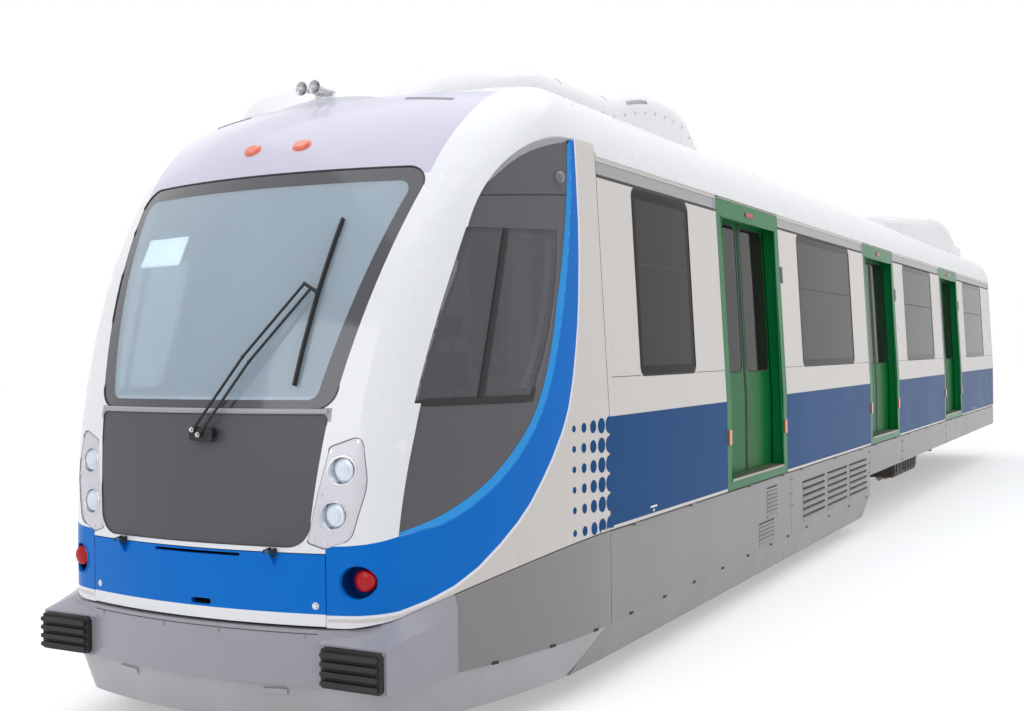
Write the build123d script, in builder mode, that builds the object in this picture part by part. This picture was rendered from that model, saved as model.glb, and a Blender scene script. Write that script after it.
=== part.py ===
from build123d import *
from math import asin, cos, degrees, hypot, radians, sin, sqrt
import os

# Cab motor car of a metre-gauge diesel light-rail unit, in millimetres. +X is the cab end, +Y the car's
# left side and +Z is up. The origin is on the ground plane of the wheel flanges, at the middle of the car.
# Most places are given as a distance behind the nose and a height above the rail.

# Overall sizes
body_length = 18870.0
half_body = 1430.0
gangway_depth = 428.0
band_height = 1550.0
cantrail_height = 3070.0
shoulder_height = 3339.5
crown_height = 3700.0
side_lean = 0.0489
shoulder_radius = 431.0

# Wheels and floor
wheel_radius = 380.0
flange_height = 28.0
wheel_clearance = 42.0
slab_depth = 120.0
floor_drop = 60.0
slab_bottom = 2 * wheel_radius + flange_height + wheel_clearance
floor_height = slab_bottom + slab_depth
sill_height = floor_height - floor_drop

# Nose: plan and upright curves, and how deep its panes and panels sit
nose_seam = 1910.0
nose_tip = -200.0
plan_radius = 3900.0
face_radius = 3300.0
face_lead = 26.0
face_upright = 970.0
face_lean_radius = 3500.0
brow_height = 2930.0
brow_radius = 1293.0
corner_radius = 280.0
mask_wall = 60.0
glass_face = 3.0
glass_bed = 15.0
glass_gap = 2.0
hatch_wall = 25.0
glass_ledge = 60.0
belly_front = 625.0
belly_corner = 665.0
belly_rise = 85.0

# Side walls, doors and windows
wall_depth = 170.0
door_pitch_table = (4040.0, 8840.0, 13650.0)
portal_width = 1580.0
jamb_width = 105.0
header_height = 2930.0
slot_out = 97.0
slot_in = 148.0
slot_top = 2975.0
leaf_out = 105.0
leaf_in = 140.0
leaf_top = 2966.0
leaf_overlap = 20.0
leaf_show = 65.0
leaf_gap = 6.0
pocket_spare = 10.0
leaf_glass_bottom = 1760.0
leaf_glass_top = 2900.0
leaf_glass_sink = 5.0
leaf_glass_corner = 70.0
leaf_stile = 60.0
window_bottom = 1790.0
window_top = 2930.0
window_lap = 12.0
window_corner = 45.0
band_sink = 6.0
band_low = 2948.0
band_high = 3046.0
band_end = 25.0
rail_proud = 12.0
rail_height = 24.0
# Each saloon window: free wall ahead of it and behind it, counted from the panel's end or the leaf's pocket
window_table = ((530.0, 85.0), (45.0, 135.0), (55.0, 195.0), (25.0, 1060.0))

# Bumper, apron and skirts
bumper_proud = 16.0
bumper_top = 618.0
lower_edge = 345.0
valance_bottom = 120.0
valance_taper = 18.0
valance_step = 12.0
front_station = 550.0
skirt_thickness = 35.0
skirt_gap = 6.0
skirt_shoulder = 22.0
apron_rear_top = 1880.0
apron_rear_bottom = 1500.0
# Each skirt: where it ends, its lower edge, and whether a valance turns in below it
skirt_table = (
    (5710.0, lower_edge, True),
    (8760.0, lower_edge, True),
    (10560.0, 570.0, False),
    (13720.0, 570.0, False),
    (body_length - 60.0, 570.0, False),
)
# Each louvred field: its middle, columns, rows, pitch along and up, and the length and height of a slot
louvre_table = (
    (7345.0, 560.0, 3, 6, 877.0, 60.0, 780.0, 26.0),
    (5155.0, 670.0, 1, 7, 400.0, 32.0, 290.0, 15.0),
    (4995.0, 440.0, 1, 5, 400.0, 32.0, 410.0, 15.0),
)

# Underframe and running gear
slab_side_gap = 45.0
sole_inset = 310.0
sole_width = 120.0
sole_depth = 150.0
sole_plate = 14.0
member_table = (960.0, 1500.0, 5750.0, 8700.0, 10700.0, 12700.0, 17000.0, 18650.0)
jacking_table = (5200.0, 13400.0)
jacking_pad = 20.0
bogie_places = (3700.0, 14950.0)
wheelbase = 2000.0
tread_middle = 500.0
wheel_width = 125.0
axle_radius = 70.0
hub_radius = 110.0
journal_radius = 60.0
journal_gap = 0.05
disc_radius = 285.0
disc_place = 190.0
disc_width = 45.0
beam_middle = 770.0
beam_width = 150.0
air_spring_radius = 225.0
pivot_radius = 90.0
pivot_depth = 400.0
pivot_bush = 1.0
pivot_gap = 0.3

# Inside
bench_depth = 455.0
bench_height = 1400.0
pole_radius = 17.0
pole_inset = 490.0
door_half = 330.0
door_gap = 8.0
door_hinge_radius = 8.0
bulkhead_rear = 100.0
bulkhead_wall = 40.0

# What follows from the sizes above
nose_lead = face_lead + bumper_proud
overall_length = nose_lead + body_length + gangway_depth
gangway_face = body_length + gangway_depth
shoulder_half = half_body - side_lean * (shoulder_height - band_height)
roof_rise = crown_height - shoulder_height
roof_radius = (shoulder_half**2 + roof_rise**2) / (2 * roof_rise)
roof_end = body_length - mask_wall
lean_tilt = asin((brow_height - face_upright) / face_lean_radius)
lean_reach = face_radius - face_lean_radius
brow_reach = lean_reach + (face_lean_radius - brow_radius) * cos(lean_tilt)
brow_middle = face_upright + (face_lean_radius - brow_radius) * sin(lean_tilt)
leaf_bottom = floor_height + leaf_gap
leaf_travel = portal_width / 2 - jamb_width - leaf_show
pocket_depth = leaf_travel + pocket_spare - (jamb_width - leaf_overlap)
sole_middle = half_body - sole_inset
sole_bottom = slab_bottom - sole_depth
slab_half = half_body - slab_side_gap
lining = half_body - wall_depth
skirt_top = sill_height - skirt_gap
axle_height = wheel_radius

os.makedirs("parts", exist_ok=True)


def aft(distance):
    """X of a place that lies this far behind the nose."""
    return overall_length / 2 - nose_lead - distance


def up(height):
    """Z of a height above the rail."""
    return flange_height + height


def save(piece, name):
    piece.part.label = name
    export_step(piece.part, f"parts/{name}.step")


# Shared forms of the body
def lean_in(height):
    """How far the body side has leant in at a height."""
    return side_lean * max(0.0, height - band_height)


def half_width(distance):
    """Half the body's width at a distance behind the nose."""
    run = max(0.0, nose_seam - distance)
    return half_body - plan_radius + sqrt(plan_radius**2 - run**2)


def face_place(across, height):
    """Distance behind the nose of the front face, at a Y and a height."""
    if height > brow_height:
        reach = brow_reach + sqrt(brow_radius**2 - (height - brow_middle) ** 2)
    else:
        reach = lean_reach + sqrt(face_lean_radius**2 - max(0.0, height - face_upright) ** 2)
    return face_radius - face_lead - sqrt(reach**2 - across**2)


def body_section(distance, inset, low):
    """Closed cross-section of the body, inset all round, from a low height to the roof."""
    wide = half_width(distance) - inset
    centre = crown_height - roof_radius
    radius = roof_radius - inset
    reach = wide + side_lean * (band_height - centre)
    square = 1 + side_lean**2
    rise = (reach * side_lean + sqrt(reach**2 * side_lean**2 - square * (reach**2 - radius**2))) / square
    corner = (reach - side_lean * rise, up(centre + rise))
    side = [(wide - lean_in(low), up(low))]
    if low < band_height:
        side.append((wide, up(band_height)))
    side.append(corner)
    with BuildSketch(Plane.YZ.offset(aft(distance))) as section:
        with BuildLine():
            Polyline([(-y, z) for y, z in reversed(side)] + side)
            ThreePointArc(corner, (0, up(crown_height - inset)), (-corner[0], corner[1]))
        make_face()
        crest_tips = section.vertices().filter_by(lambda tip: abs(tip.Y - corner[1]) < 1)
        fillet(crest_tips, shoulder_radius - inset)
    return section.sketch


def face_solid(inset, low):
    """Turned solid of the front face: upright, leaning windscreen and rolled-over brow."""
    foot = face_radius - inset
    lean_radius = face_lean_radius - inset
    brow = brow_radius - inset
    axis_x = aft(face_radius - face_lead)

    def at(reach, height, radius, angle):
        return (axis_x + reach + radius * cos(angle), up(height + radius * sin(angle)))

    crest = radians(90)
    hip = at(lean_reach, face_upright, lean_radius, lean_tilt)
    waist = at(lean_reach, face_upright, lean_radius, lean_tilt / 2)
    bow = at(brow_reach, brow_middle, brow, (lean_tilt + crest) / 2)
    top = at(brow_reach, brow_middle, brow, crest)
    with BuildPart() as face:
        with BuildSketch(Plane.XZ):
            with BuildLine():
                Line((axis_x, up(low)), (axis_x + foot, up(low)))
                Line((axis_x + foot, up(low)), (axis_x + foot, up(face_upright)))
                ThreePointArc((axis_x + foot, up(face_upright)), waist, hip)
                ThreePointArc(hip, bow, top)
                Line(top, (axis_x, top[1]))
                Line((axis_x, top[1]), (axis_x, up(low)))
            make_face()
        revolve(axis=Axis((axis_x, 0, 0), (0, 0, 1)))
    return face.part


def nose_form(inset):
    """Solid of the nose, inset all round, cut off at the seam with the body."""
    low = 250.0
    stations = (2900.0, nose_seam, 1270.0, 630.0, -100.0)
    with BuildPart() as hull:
        loft(sections=[body_section(place, inset, low) for place in stations])
    with BuildPart() as nose:
        add(hull.part)
        add(face_solid(inset, low), mode=Mode.INTERSECT)
        split(bisect_by=Plane.YZ.offset(aft(nose_seam)), keep=Keep.TOP)
        turned = nose.faces().filter_by(
            lambda f: f.geom_type in (GeomType.CYLINDER, GeomType.TORUS, GeomType.REVOLUTION)
        )
        lofted_edges = nose.faces().filter_by(GeomType.BSPLINE).edges()
        rim = [e for e in turned.edges() if any(e.is_same(other) for other in lofted_edges)]
        fillet(rim, corner_radius - inset)
    return nose.part


def plan_sketch(height, inset, rear):
    """Plan outline of the nose below the windscreen, at a height, back to a place behind the seam."""
    wide = half_body - inset
    front_wide = half_width(nose_tip) - inset
    with BuildSketch(Plane.XY.offset(up(height))) as plan:
        with BuildLine():
            Line((aft(rear), -wide), (aft(rear), wide))
            Line((aft(rear), wide), (aft(nose_seam), wide))
            RadiusArc((aft(nose_seam), wide), (aft(nose_tip), front_wide), plan_radius - inset)
            Line((aft(nose_tip), front_wide), (aft(nose_tip), -front_wide))
            RadiusArc((aft(nose_tip), -front_wide), (aft(nose_seam), -wide), plan_radius - inset)
            Line((aft(nose_seam), -wide), (aft(rear), -wide))
        make_face()
        with BuildSketch(mode=Mode.PRIVATE) as front:
            with Locations((aft(face_radius - face_lead), 0)):
                Circle(face_radius - inset)
        add(front.sketch, mode=Mode.INTERSECT)
        tips = plan.vertices().group_by(Axis.X)[-1]
        fillet(tips, corner_radius - inset)
    return plan.sketch


def side_slab(side, fore, rear, outer, inner, low, high):
    """Slab in the leaning body side between two places along the car, by its depths behind the skin."""
    knee = [band_height] if low < band_height < high else []
    heights = [low, *knee, high]
    skin = [(side * (half_body - outer - lean_in(h)), up(h)) for h in heights]
    back = [(side * (half_body - inner - lean_in(h)), up(h)) for h in reversed(heights)]
    with BuildPart() as slab:
        with BuildSketch(Plane.YZ.offset(aft(rear))):
            with BuildLine():
                Polyline(skin + back, close=True)
            make_face()
        extrude(amount=rear - fore)
    return slab.part


def side_prism(fore, rear, low, high, corner):
    """Round-cornered prism across the whole car, to cut or trim windows with."""
    with BuildPart() as prism:
        with BuildSketch(Plane.XZ):
            with Locations((aft((fore + rear) / 2), up((low + high) / 2))):
                RectangleRounded(rear - fore, high - low, corner)
        extrude(amount=2 * half_body, both=True)
    return prism.part


def box_between(fore, rear, left, right, low, high):
    """Block between two places along the car, two Y values and two heights."""
    with BuildPart() as block:
        with Locations((aft((fore + rear) / 2), (left + right) / 2, up((low + high) / 2))):
            Box(rear - fore, abs(right - left), high - low)
    return block.part


def front_prism(points, shift, fore, rear):
    """Prism along the car with a mirrored outline, given by the corners of its left half and their radii."""
    ring = [(y, up(z)) for y, z, _ in points] + [(-y, up(z)) for y, z, _ in reversed(points)]
    radii = [r for _, _, r in points] + [r for _, _, r in reversed(points)]
    with BuildPart() as prism:
        with BuildSketch(Plane.YZ.offset(aft(rear))):
            with BuildLine():
                FilletPolyline(ring, radius=radii, close=True)
            make_face()
            if shift:
                offset(amount=shift)
        extrude(amount=rear - fore)
    return prism.part


def pair_prism(points, shift, fore, rear):
    """Two prisms along the car, one on each side, with an outline given by its corners and their radii."""
    with BuildPart() as prisms:
        for side in (1, -1):
            with BuildSketch(Plane.YZ.offset(aft(rear))):
                with BuildLine():
                    FilletPolyline([(side * y, up(z)) for y, z, _ in points], radius=[r for _, _,
                        r in points],
                                   close=True)
                make_face()
                if shift:
                    offset(amount=shift)
            extrude(amount=rear - fore)
    return prisms.part


def side_view_prism(curve, shift):
    """Prism across the car whose outline is a chain of lines and arcs in side view."""
    with BuildPart() as prism:
        with BuildSketch(Plane.XZ):
            with BuildLine():
                for piece in curve:
                    spots = [(aft(s), up(z)) for s, z in piece]
                    if len(spots) == 3:
                        ThreePointArc(*spots)
                    else:
                        Line(*spots)
            make_face()
            if shift:
                offset(amount=shift)
        extrude(amount=2 * half_body, both=True)
    return prism.part


def bar(start, end, radius):
    """Round bar from one point to another."""
    run = Vector(end) - Vector(start)
    with BuildPart() as rod:
        with BuildSketch(Plane(origin=start, z_dir=run)):
            Circle(radius)
        extrude(amount=run.length)
    return rod.part


# Openings and glazed fields of the nose, as half outlines (Y, height, corner radius)
windscreen_outline = ((985.0, 2900.0, 110.0), (760.0, 1665.0, 110.0))
nose_panel_outline = ((745.0, 1640.0, 30.0), (672.0, 1005.0, 120.0))
hatch_top = 975.0
hatch_half = 760.0
hatch_outline = ((hatch_half, hatch_top, 4.0), (hatch_half, belly_front + 7.0, 4.0))
hatch_opening = ((hatch_half + 5.0, hatch_top + 5.0, 4.0), (hatch_half + 5.0, 400.0, 4.0))
bezel_outline = ((765.0, 1488.0, 25.0), (922.0, 1545.0, 40.0), (958.0, 1310.0, 300.0), (890.0, 1050.0, 70.0),
                 (760.0, 1000.0, 60.0), (668.0, 1030.0, 15.0))
lamp_table = ((830.0, 1375.0), (797.0, 1160.0))
lamp_radius = 63.0
lamp_wall = 12.0
lamp_sink = 45.0
tail_pot = (910.0, 845.0)
tail_lamp = (945.0, 858.0)
tail_pot_radius = 86.0
tail_lamp_radius = 44.0
tail_floor = 190.0
# Recessed field on each cab side, and the pane in it, as chains of lines and arcs (place, height)
recess_curve = (
    ((250.0, 1055.0), (372.0, 1660.0), (650.0, 2350.0)),
    ((650.0, 2350.0), (850.0, 2790.0), (1180.0, 3035.0)),
    ((1180.0, 3035.0), (1390.0, 3105.0), (1620.0, 3130.0)),
    ((1620.0, 3130.0), (1525.0, 2500.0), (1325.0, 1870.0)),
    ((1325.0, 1870.0), (985.0, 1385.0), (480.0, 1090.0)),
    ((480.0, 1090.0), (250.0, 1055.0)),
)
pane_curve = (
    ((348.0, 1690.0), (500.0, 2110.0), (706.0, 2565.0)),
    ((706.0, 2565.0), (1450.0, 2600.0)),
    ((1450.0, 2600.0), (1316.0, 2050.0), (1121.0, 1685.0)),
    ((1121.0, 1685.0), (348.0, 1690.0)),
)

outer_nose = nose_form(0.0)
glass_nose = nose_form(glass_face)
bed_nose = nose_form(glass_bed)
hatch_nose = nose_form(hatch_wall)
inner_nose = nose_form(mask_wall)


def belly(lift):
    """Block below the painted body's lower edge, raised a little for the panels that stay clear of it."""
    line = [(-400.0, belly_front), (250.0, belly_corner), (900.0, sill_height - belly_rise),
            (nose_seam, sill_height)]
    edge = [(aft(s), up(z + lift)) for s, z in line]
    rear = (aft(gangway_face), edge[3][1])
    with BuildPart() as block:
        with BuildSketch(Plane.XZ):
            with BuildLine():
                Line(edge[0], edge[1])
                ThreePointArc(edge[1], edge[2], edge[3])
                Polyline(edge[3], rear, (rear[0], up(-200.0)), (edge[0][0], up(-200.0)), edge[0])
            make_face()
        extrude(amount=2 * half_body, both=True)
    return block.part


# Cab mask: the painted shell of the nose with its openings, beds, lamp cups and hinge lugs
hinge_place = 10.0 - nose_lead
hinge_height = hatch_top + 10.0
hinge_across = 490.0
knuckle_radius = 10.0
pin_radius = 5.0
knuckle_half = 9.0
knuckle_gap = 1.0
lug_width = 14.0
lug_face = face_place(hinge_across, hinge_height)


def hinge_plate(outline, across, width):
    """Plate of a hatch hinge, upright and along the car, by its outline in side view."""
    with BuildPart() as plate:
        with BuildSketch(Plane.XZ.offset(-(across + width / 2))):
            with BuildLine():
                Polyline([(aft(s), up(z)) for s, z in outline], close=True)
            make_face()
            with Locations((aft(hinge_place), up(hinge_height))):
                Circle(knuckle_radius)
        extrude(amount=width)
    return plate.part


with BuildPart() as cab_mask:
    add(outer_nose)
    add(inner_nose, mode=Mode.SUBTRACT)
    add(box_between(nose_seam - mask_wall, nose_seam + 5, 200 - half_body, half_body - 200, 200, 3050.0),
        mode=Mode.SUBTRACT)
    add(belly(0.0), mode=Mode.SUBTRACT)
    with BuildPart(mode=Mode.PRIVATE) as beds:
        add(front_prism(windscreen_outline, 0.0, nose_tip, 1300.0))
        add(front_prism(nose_panel_outline, 0.0, nose_tip, 500.0))
        add(pair_prism(bezel_outline, 0.0, nose_tip, 500.0))
        add(side_view_prism(recess_curve, 0.0))
        add(bed_nose, mode=Mode.SUBTRACT)
    add(beds.part, mode=Mode.SUBTRACT)
    with BuildPart(mode=Mode.PRIVATE) as pane_bed:
        add(side_view_prism(pane_curve, glass_gap))
        add(hatch_nose, mode=Mode.SUBTRACT)
    add(pane_bed.part, mode=Mode.SUBTRACT)
    add(side_view_prism(pane_curve, glass_gap - glass_ledge), mode=Mode.SUBTRACT)
    add(front_prism(windscreen_outline, -glass_ledge, nose_tip, 1300.0), mode=Mode.SUBTRACT)
    add(front_prism(hatch_opening, 0.0, nose_tip, 500.0), mode=Mode.SUBTRACT)
    for side in (1, -1):
        with BuildSketch(Plane.YZ.offset(aft(400.0))):
            with Locations(*[(side * y, up(z)) for y, z in lamp_table]):
                Circle(lamp_radius + lamp_wall + glass_gap)
        extrude(amount=600.0, mode=Mode.SUBTRACT)
        with BuildPart(mode=Mode.PRIVATE) as cup:
            with BuildSketch(Plane.YZ.offset(aft(tail_floor + lamp_wall))):
                with Locations((side * tail_pot[0], up(tail_pot[1]))):
                    Circle(tail_pot_radius + lamp_wall)
            extrude(amount=tail_floor)
            add(outer_nose, mode=Mode.INTERSECT)
        add(cup.part)
        with BuildSketch(Plane.YZ.offset(aft(tail_floor))):
            with Locations((side * tail_pot[0], up(tail_pot[1]))):
                Circle(tail_pot_radius)
        extrude(amount=600.0, mode=Mode.SUBTRACT)
        for step in (-1, 1):
            middle = side * hinge_across + step * (knuckle_half + knuckle_gap + lug_width / 2)
            add(hinge_plate([(lug_face + 12, hinge_height), (lug_face + 12, hinge_height + 16),
                             (lug_face - 2, hinge_height + 16), (hinge_place - 6, hinge_height + 7),
                             (hinge_place + 5, hinge_height - 8)], middle, lug_width))
        with Locations((aft(hinge_place), side * hinge_across, up(hinge_height))):
            Cylinder(pin_radius, 2 * (knuckle_half + knuckle_gap + lug_width / 2), rotation=(90, 0, 0))
save(cab_mask, "cab_mask")

with BuildPart() as windscreen:
    add(glass_nose)
    add(bed_nose, mode=Mode.SUBTRACT)
    add(front_prism(windscreen_outline, -glass_gap, nose_tip, 1300.0), mode=Mode.INTERSECT)
save(windscreen, "windscreen")

with BuildPart() as nose_panel:
    add(glass_nose)
    add(bed_nose, mode=Mode.SUBTRACT)
    add(front_prism(nose_panel_outline, -glass_gap, nose_tip, 500.0), mode=Mode.INTERSECT)
save(nose_panel, "nose_panel")

with BuildPart() as cab_side_windows:
    add(bed_nose)
    add(hatch_nose, mode=Mode.SUBTRACT)
    add(side_view_prism(pane_curve, 0.0), mode=Mode.INTERSECT)
save(cab_side_windows, "cab_side_windows")

# Front hatch over the stowed coupler, hung on two arms
with BuildPart() as front_hatch:
    add(outer_nose)
    add(hatch_nose, mode=Mode.SUBTRACT)
    add(front_prism(hatch_outline, 0.0, nose_tip, 400.0), mode=Mode.INTERSECT)
    with BuildSketch(Plane.YZ.offset(aft(400.0))):
        with Locations((25.0, up(hatch_top - 17))):
            RectangleRounded(550.0, 16.0, 7.0)
        with Locations((60.0, up(715.0))):
            RectangleRounded(125.0, 30.0, 13.0)
    extrude(amount=600.0, mode=Mode.SUBTRACT)
    for side in (1, -1):
        add(hinge_plate([(lug_face + 18, hatch_top - 75), (lug_face + 18, hatch_top - 22),
                         (lug_face - 4, hatch_top - 14), (hinge_place + 6, hinge_height + 7),
                         (hinge_place - 6, hinge_height - 7), (lug_face - 12, hatch_top - 50)],
                        side * hinge_across, 2 * knuckle_half))
        with Locations((aft(hinge_place), side * hinge_across, up(hinge_height))):
            Cylinder(pin_radius + pivot_gap, 4 * knuckle_half, rotation=(90, 0, 0), mode=Mode.SUBTRACT)
save(front_hatch, "front_hatch")

# Headlamps: a bezel plate let into the mask on each side, with two round cups and domed lenses
with BuildPart() as headlamps:
    add(glass_nose)
    add(bed_nose, mode=Mode.SUBTRACT)
    add(pair_prism(bezel_outline, -glass_gap, nose_tip, 500.0), mode=Mode.INTERSECT)
    for side in (1, -1):
        for y, z in lamp_table:
            depth = face_place(y, z) + glass_face + lamp_sink
            with BuildPart(mode=Mode.PRIVATE) as cup:
                with BuildSketch(Plane.YZ.offset(aft(depth + lamp_wall))):
                    with Locations((side * y, up(z))):
                        Circle(lamp_radius + lamp_wall)
                extrude(amount=depth)
                add(glass_nose, mode=Mode.INTERSECT)
            add(cup.part)
            with BuildSketch(Plane.YZ.offset(aft(depth))):
                with Locations((side * y, up(z))):
                    Circle(lamp_radius)
            extrude(amount=400.0, mode=Mode.SUBTRACT)
            with BuildPart(mode=Mode.PRIVATE) as lens:
                with BuildSketch(Plane.YZ.offset(aft(depth))):
                    with Locations((side * y, up(z))):
                        Circle(lamp_radius - 4)
                extrude(amount=26.0)
                fillet(lens.edges().group_by(Axis.X)[-1], 22.0)
            add(lens.part)
save(headlamps, "headlamps")

# Signal lamps: red tail lamps in their cups and two orange markers on the forehead
marker_across = 170.0
marker_height = 3065.0
with BuildPart() as signal_lamps:
    for side in (1, -1):
        with BuildPart(mode=Mode.PRIVATE) as tail:
            with BuildSketch(Plane.YZ.offset(aft(tail_floor))):
                with Locations((side * tail_lamp[0], up(tail_lamp[1]))):
                    Circle(tail_lamp_radius)
            extrude(amount=48.0)
            fillet(tail.edges().group_by(Axis.X)[-1], 14.0)
            add(bed_nose, mode=Mode.INTERSECT)
        add(tail.part)
        rise = marker_height - brow_middle
        tilt = asin(rise / brow_radius)
        spot = (aft(face_place(side * marker_across, marker_height)), side * marker_across, up(marker_height))
        facing = Plane(origin=spot, x_dir=(0, 1, 0), z_dir=(cos(tilt), 0, sin(tilt)))
        with BuildPart(mode=Mode.PRIVATE) as marker:
            with BuildSketch(facing.offset(-20.0)):
                Ellipse(50.0, 38.0)
            extrude(amount=38.0)
            fillet(marker.faces().sort_by(Axis(spot, facing.z_dir))[-1].edges(), 12.0)
            add(outer_nose, mode=Mode.SUBTRACT)
        add(marker.part)
save(signal_lamps, "signal_lamps")


# Wiper: a gearbox on the dark panel, twin arms and a long blade that follows the glass
def on_glass(across, height, proud):
    """Point ahead of the front face by a distance along the car."""
    return (aft(face_place(across, height) - proud), across, up(height))


with BuildPart() as wiper:
    with BuildSketch(Plane.YZ.offset(aft(face_place(60.0, 1540.0) - glass_face))):
        with Locations((60.0, up(1540.0))):
            RectangleRounded(150.0, 66.0, 18.0)
    extrude(amount=34.0)
    for shift_y, shift_z in ((0.0, 0.0), (-42.0, 24.0)):
        foot = on_glass(60.0 + shift_y, 1540.0 + shift_z, 46.0)
        knee = on_glass(315.0 + shift_y, 1900.0 + shift_z, 58.0)
        tip = on_glass(570.0 + shift_y, 2260.0 + shift_z, 46.0)
        add(bar((foot[0] - 34.0, foot[1], foot[2]), foot, 15.0))
        add(bar(foot, knee, 7.0))
        add(bar(knee, tip, 7.0))
        with Locations(foot, knee, tip):
            Sphere(10.0)
    add(bar(on_glass(528.0, 2284.0, 46.0), on_glass(612.0, 2236.0, 46.0), 9.0))
    add(bar(on_glass(592.0, 2250.0, 46.0), on_glass(594.0, 2244.0, 14.0), 9.0))
    blade_low = on_glass(558.0, 1780.0, 16.0)
    blade_top = on_glass(618.0, 2620.0, 16.0)
    with BuildLine() as blade_line:
        ThreePointArc(blade_low, on_glass(592.0, 2200.0, 16.0), blade_top)
    with BuildSketch(Plane(origin=blade_low, x_dir=(0, 1, 0), z_dir=blade_line.line % 0)):
        Rectangle(12.0, 22.0)
    sweep(path=blade_line.line)
save(wiper, "wiper")

# Side walls: one panel between each pair of doors, with leaf pockets, glazing rebates and a sunk band
portals = [(fore, fore + portal_width) for fore in door_pitch_table]
panel_ends = [nose_seam] + [edge for portal in portals for edge in portal] + [roof_end]
panels = [(panel_ends[i], panel_ends[i + 1]) for i in range(0, len(panel_ends), 2)]
windows = []
for number, ((fore, rear), (ahead, behind)) in enumerate(zip(panels, window_table)):
    pocket_ahead = pocket_depth if number > 0 else 0.0
    pocket_behind = pocket_depth if number < len(portals) else 0.0
    windows.append((fore + pocket_ahead + ahead, rear - pocket_behind - behind))

for side, name in ((1, "side_wall_left"), (-1, "side_wall_right")):
    with BuildPart() as side_wall:
        for fore, rear in panels:
            add(side_slab(side, fore, rear, 0, wall_depth, sill_height, cantrail_height))
            add(side_slab(side, fore + band_end, rear - band_end, -5, band_sink, band_low, band_high),
                mode=Mode.SUBTRACT)
        for fore, rear in windows:
            add(side_prism(fore, rear, window_bottom, window_top, window_corner), mode=Mode.SUBTRACT)
            lap = window_lap + glass_gap
            with BuildPart(mode=Mode.PRIVATE) as rebate:
                add(side_slab(side, fore - lap, rear + lap, -5, glass_bed, window_bottom - lap,
                              window_top + lap))
                add(side_prism(fore - lap, rear + lap, window_bottom - lap, window_top + lap,
                               window_corner + lap),
                    mode=Mode.INTERSECT)
            add(rebate.part, mode=Mode.SUBTRACT)
        for fore, rear in portals:
            for pocket in ((fore - pocket_depth, fore), (rear, rear + pocket_depth)):
                add(side_slab(side, *pocket, slot_out, slot_in, floor_height, slot_top), mode=Mode.SUBTRACT)
    save(side_wall, name)

with BuildPart() as side_windows:
    for side in (1, -1):
        for fore, rear in windows:
            with BuildPart(mode=Mode.PRIVATE) as pane:
                add(side_slab(side, fore - window_lap, rear + window_lap, glass_face, glass_bed,
                              window_bottom - window_lap, window_top + window_lap))
                add(side_prism(fore - window_lap, rear + window_lap, window_bottom - window_lap,
                               window_top + window_lap, window_corner + window_lap), mode=Mode.INTERSECT)
            add(pane.part)
save(side_windows, "side_windows")

# Door portals: a frame through the wall with a slot that the leaves run in
for side, name in ((1, "door_portals_left"), (-1, "door_portals_right")):
    with BuildPart() as door_portals:
        for fore, rear in portals:
            add(side_slab(side, fore, rear, 0, wall_depth, sill_height, cantrail_height))
            opening = side_slab(side, fore + jamb_width, rear - jamb_width, -5, wall_depth + 5, floor_height,
                                header_height)
            add(opening, mode=Mode.SUBTRACT)
            add(side_slab(side, fore, rear, slot_out, slot_in, floor_height, slot_top), mode=Mode.SUBTRACT)
    save(door_portals, name)

# Door leaves, two to a portal, each with a sunk pane on both faces
for side, side_name in ((1, "left"), (-1, "right")):
    for number, (fore, rear) in enumerate(portals, start=1):
        middle = (fore + rear) / 2
        closed = (
            ("fore", fore + jamb_width - leaf_overlap, middle - leaf_gap / 2),
            ("rear", middle + leaf_gap / 2, rear - jamb_width + leaf_overlap),
        )
        for end, leaf_fore, leaf_rear in closed:
            pane_fore, pane_rear = leaf_fore + leaf_stile, leaf_rear - leaf_stile
            with BuildPart() as door_leaf:
                add(side_slab(side, leaf_fore, leaf_rear, leaf_out, leaf_in, leaf_bottom, leaf_top))
                for recess in ((leaf_out - 1, leaf_out + leaf_glass_sink), (leaf_in - leaf_glass_sink,
                    leaf_in + 1)):
                    with BuildPart(mode=Mode.PRIVATE) as pane_sink:
                        add(side_slab(side, pane_fore, pane_rear, *recess, leaf_glass_bottom, leaf_glass_top))
                        add(side_prism(pane_fore, pane_rear, leaf_glass_bottom, leaf_glass_top,
                                       leaf_glass_corner),
                            mode=Mode.INTERSECT)
                    add(pane_sink.part, mode=Mode.SUBTRACT)
            save(door_leaf, f"door_{side_name}_{number}_{end}")

# Roof with its drip rails, and the rear end wall round the gangway
with BuildPart() as roof:
    extrude(body_section(roof_end, 0.0, cantrail_height), amount=roof_end - nose_seam)
    for side in (1, -1):
        add(side_slab(side, nose_seam, roof_end, -rail_proud, rail_proud, cantrail_height,
                      cantrail_height + rail_height))
save(roof, "roof")

gangway_half = 550.0
gangway_top = 2900.0
with BuildPart() as rear_end_wall:
    extrude(body_section(body_length, 0.0, sill_height), amount=mask_wall)
    add(box_between(body_length - 100, body_length + 10, -gangway_half, gangway_half, floor_height,
                    gangway_top),
        mode=Mode.SUBTRACT)
save(rear_end_wall, "rear_end_wall")

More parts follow.
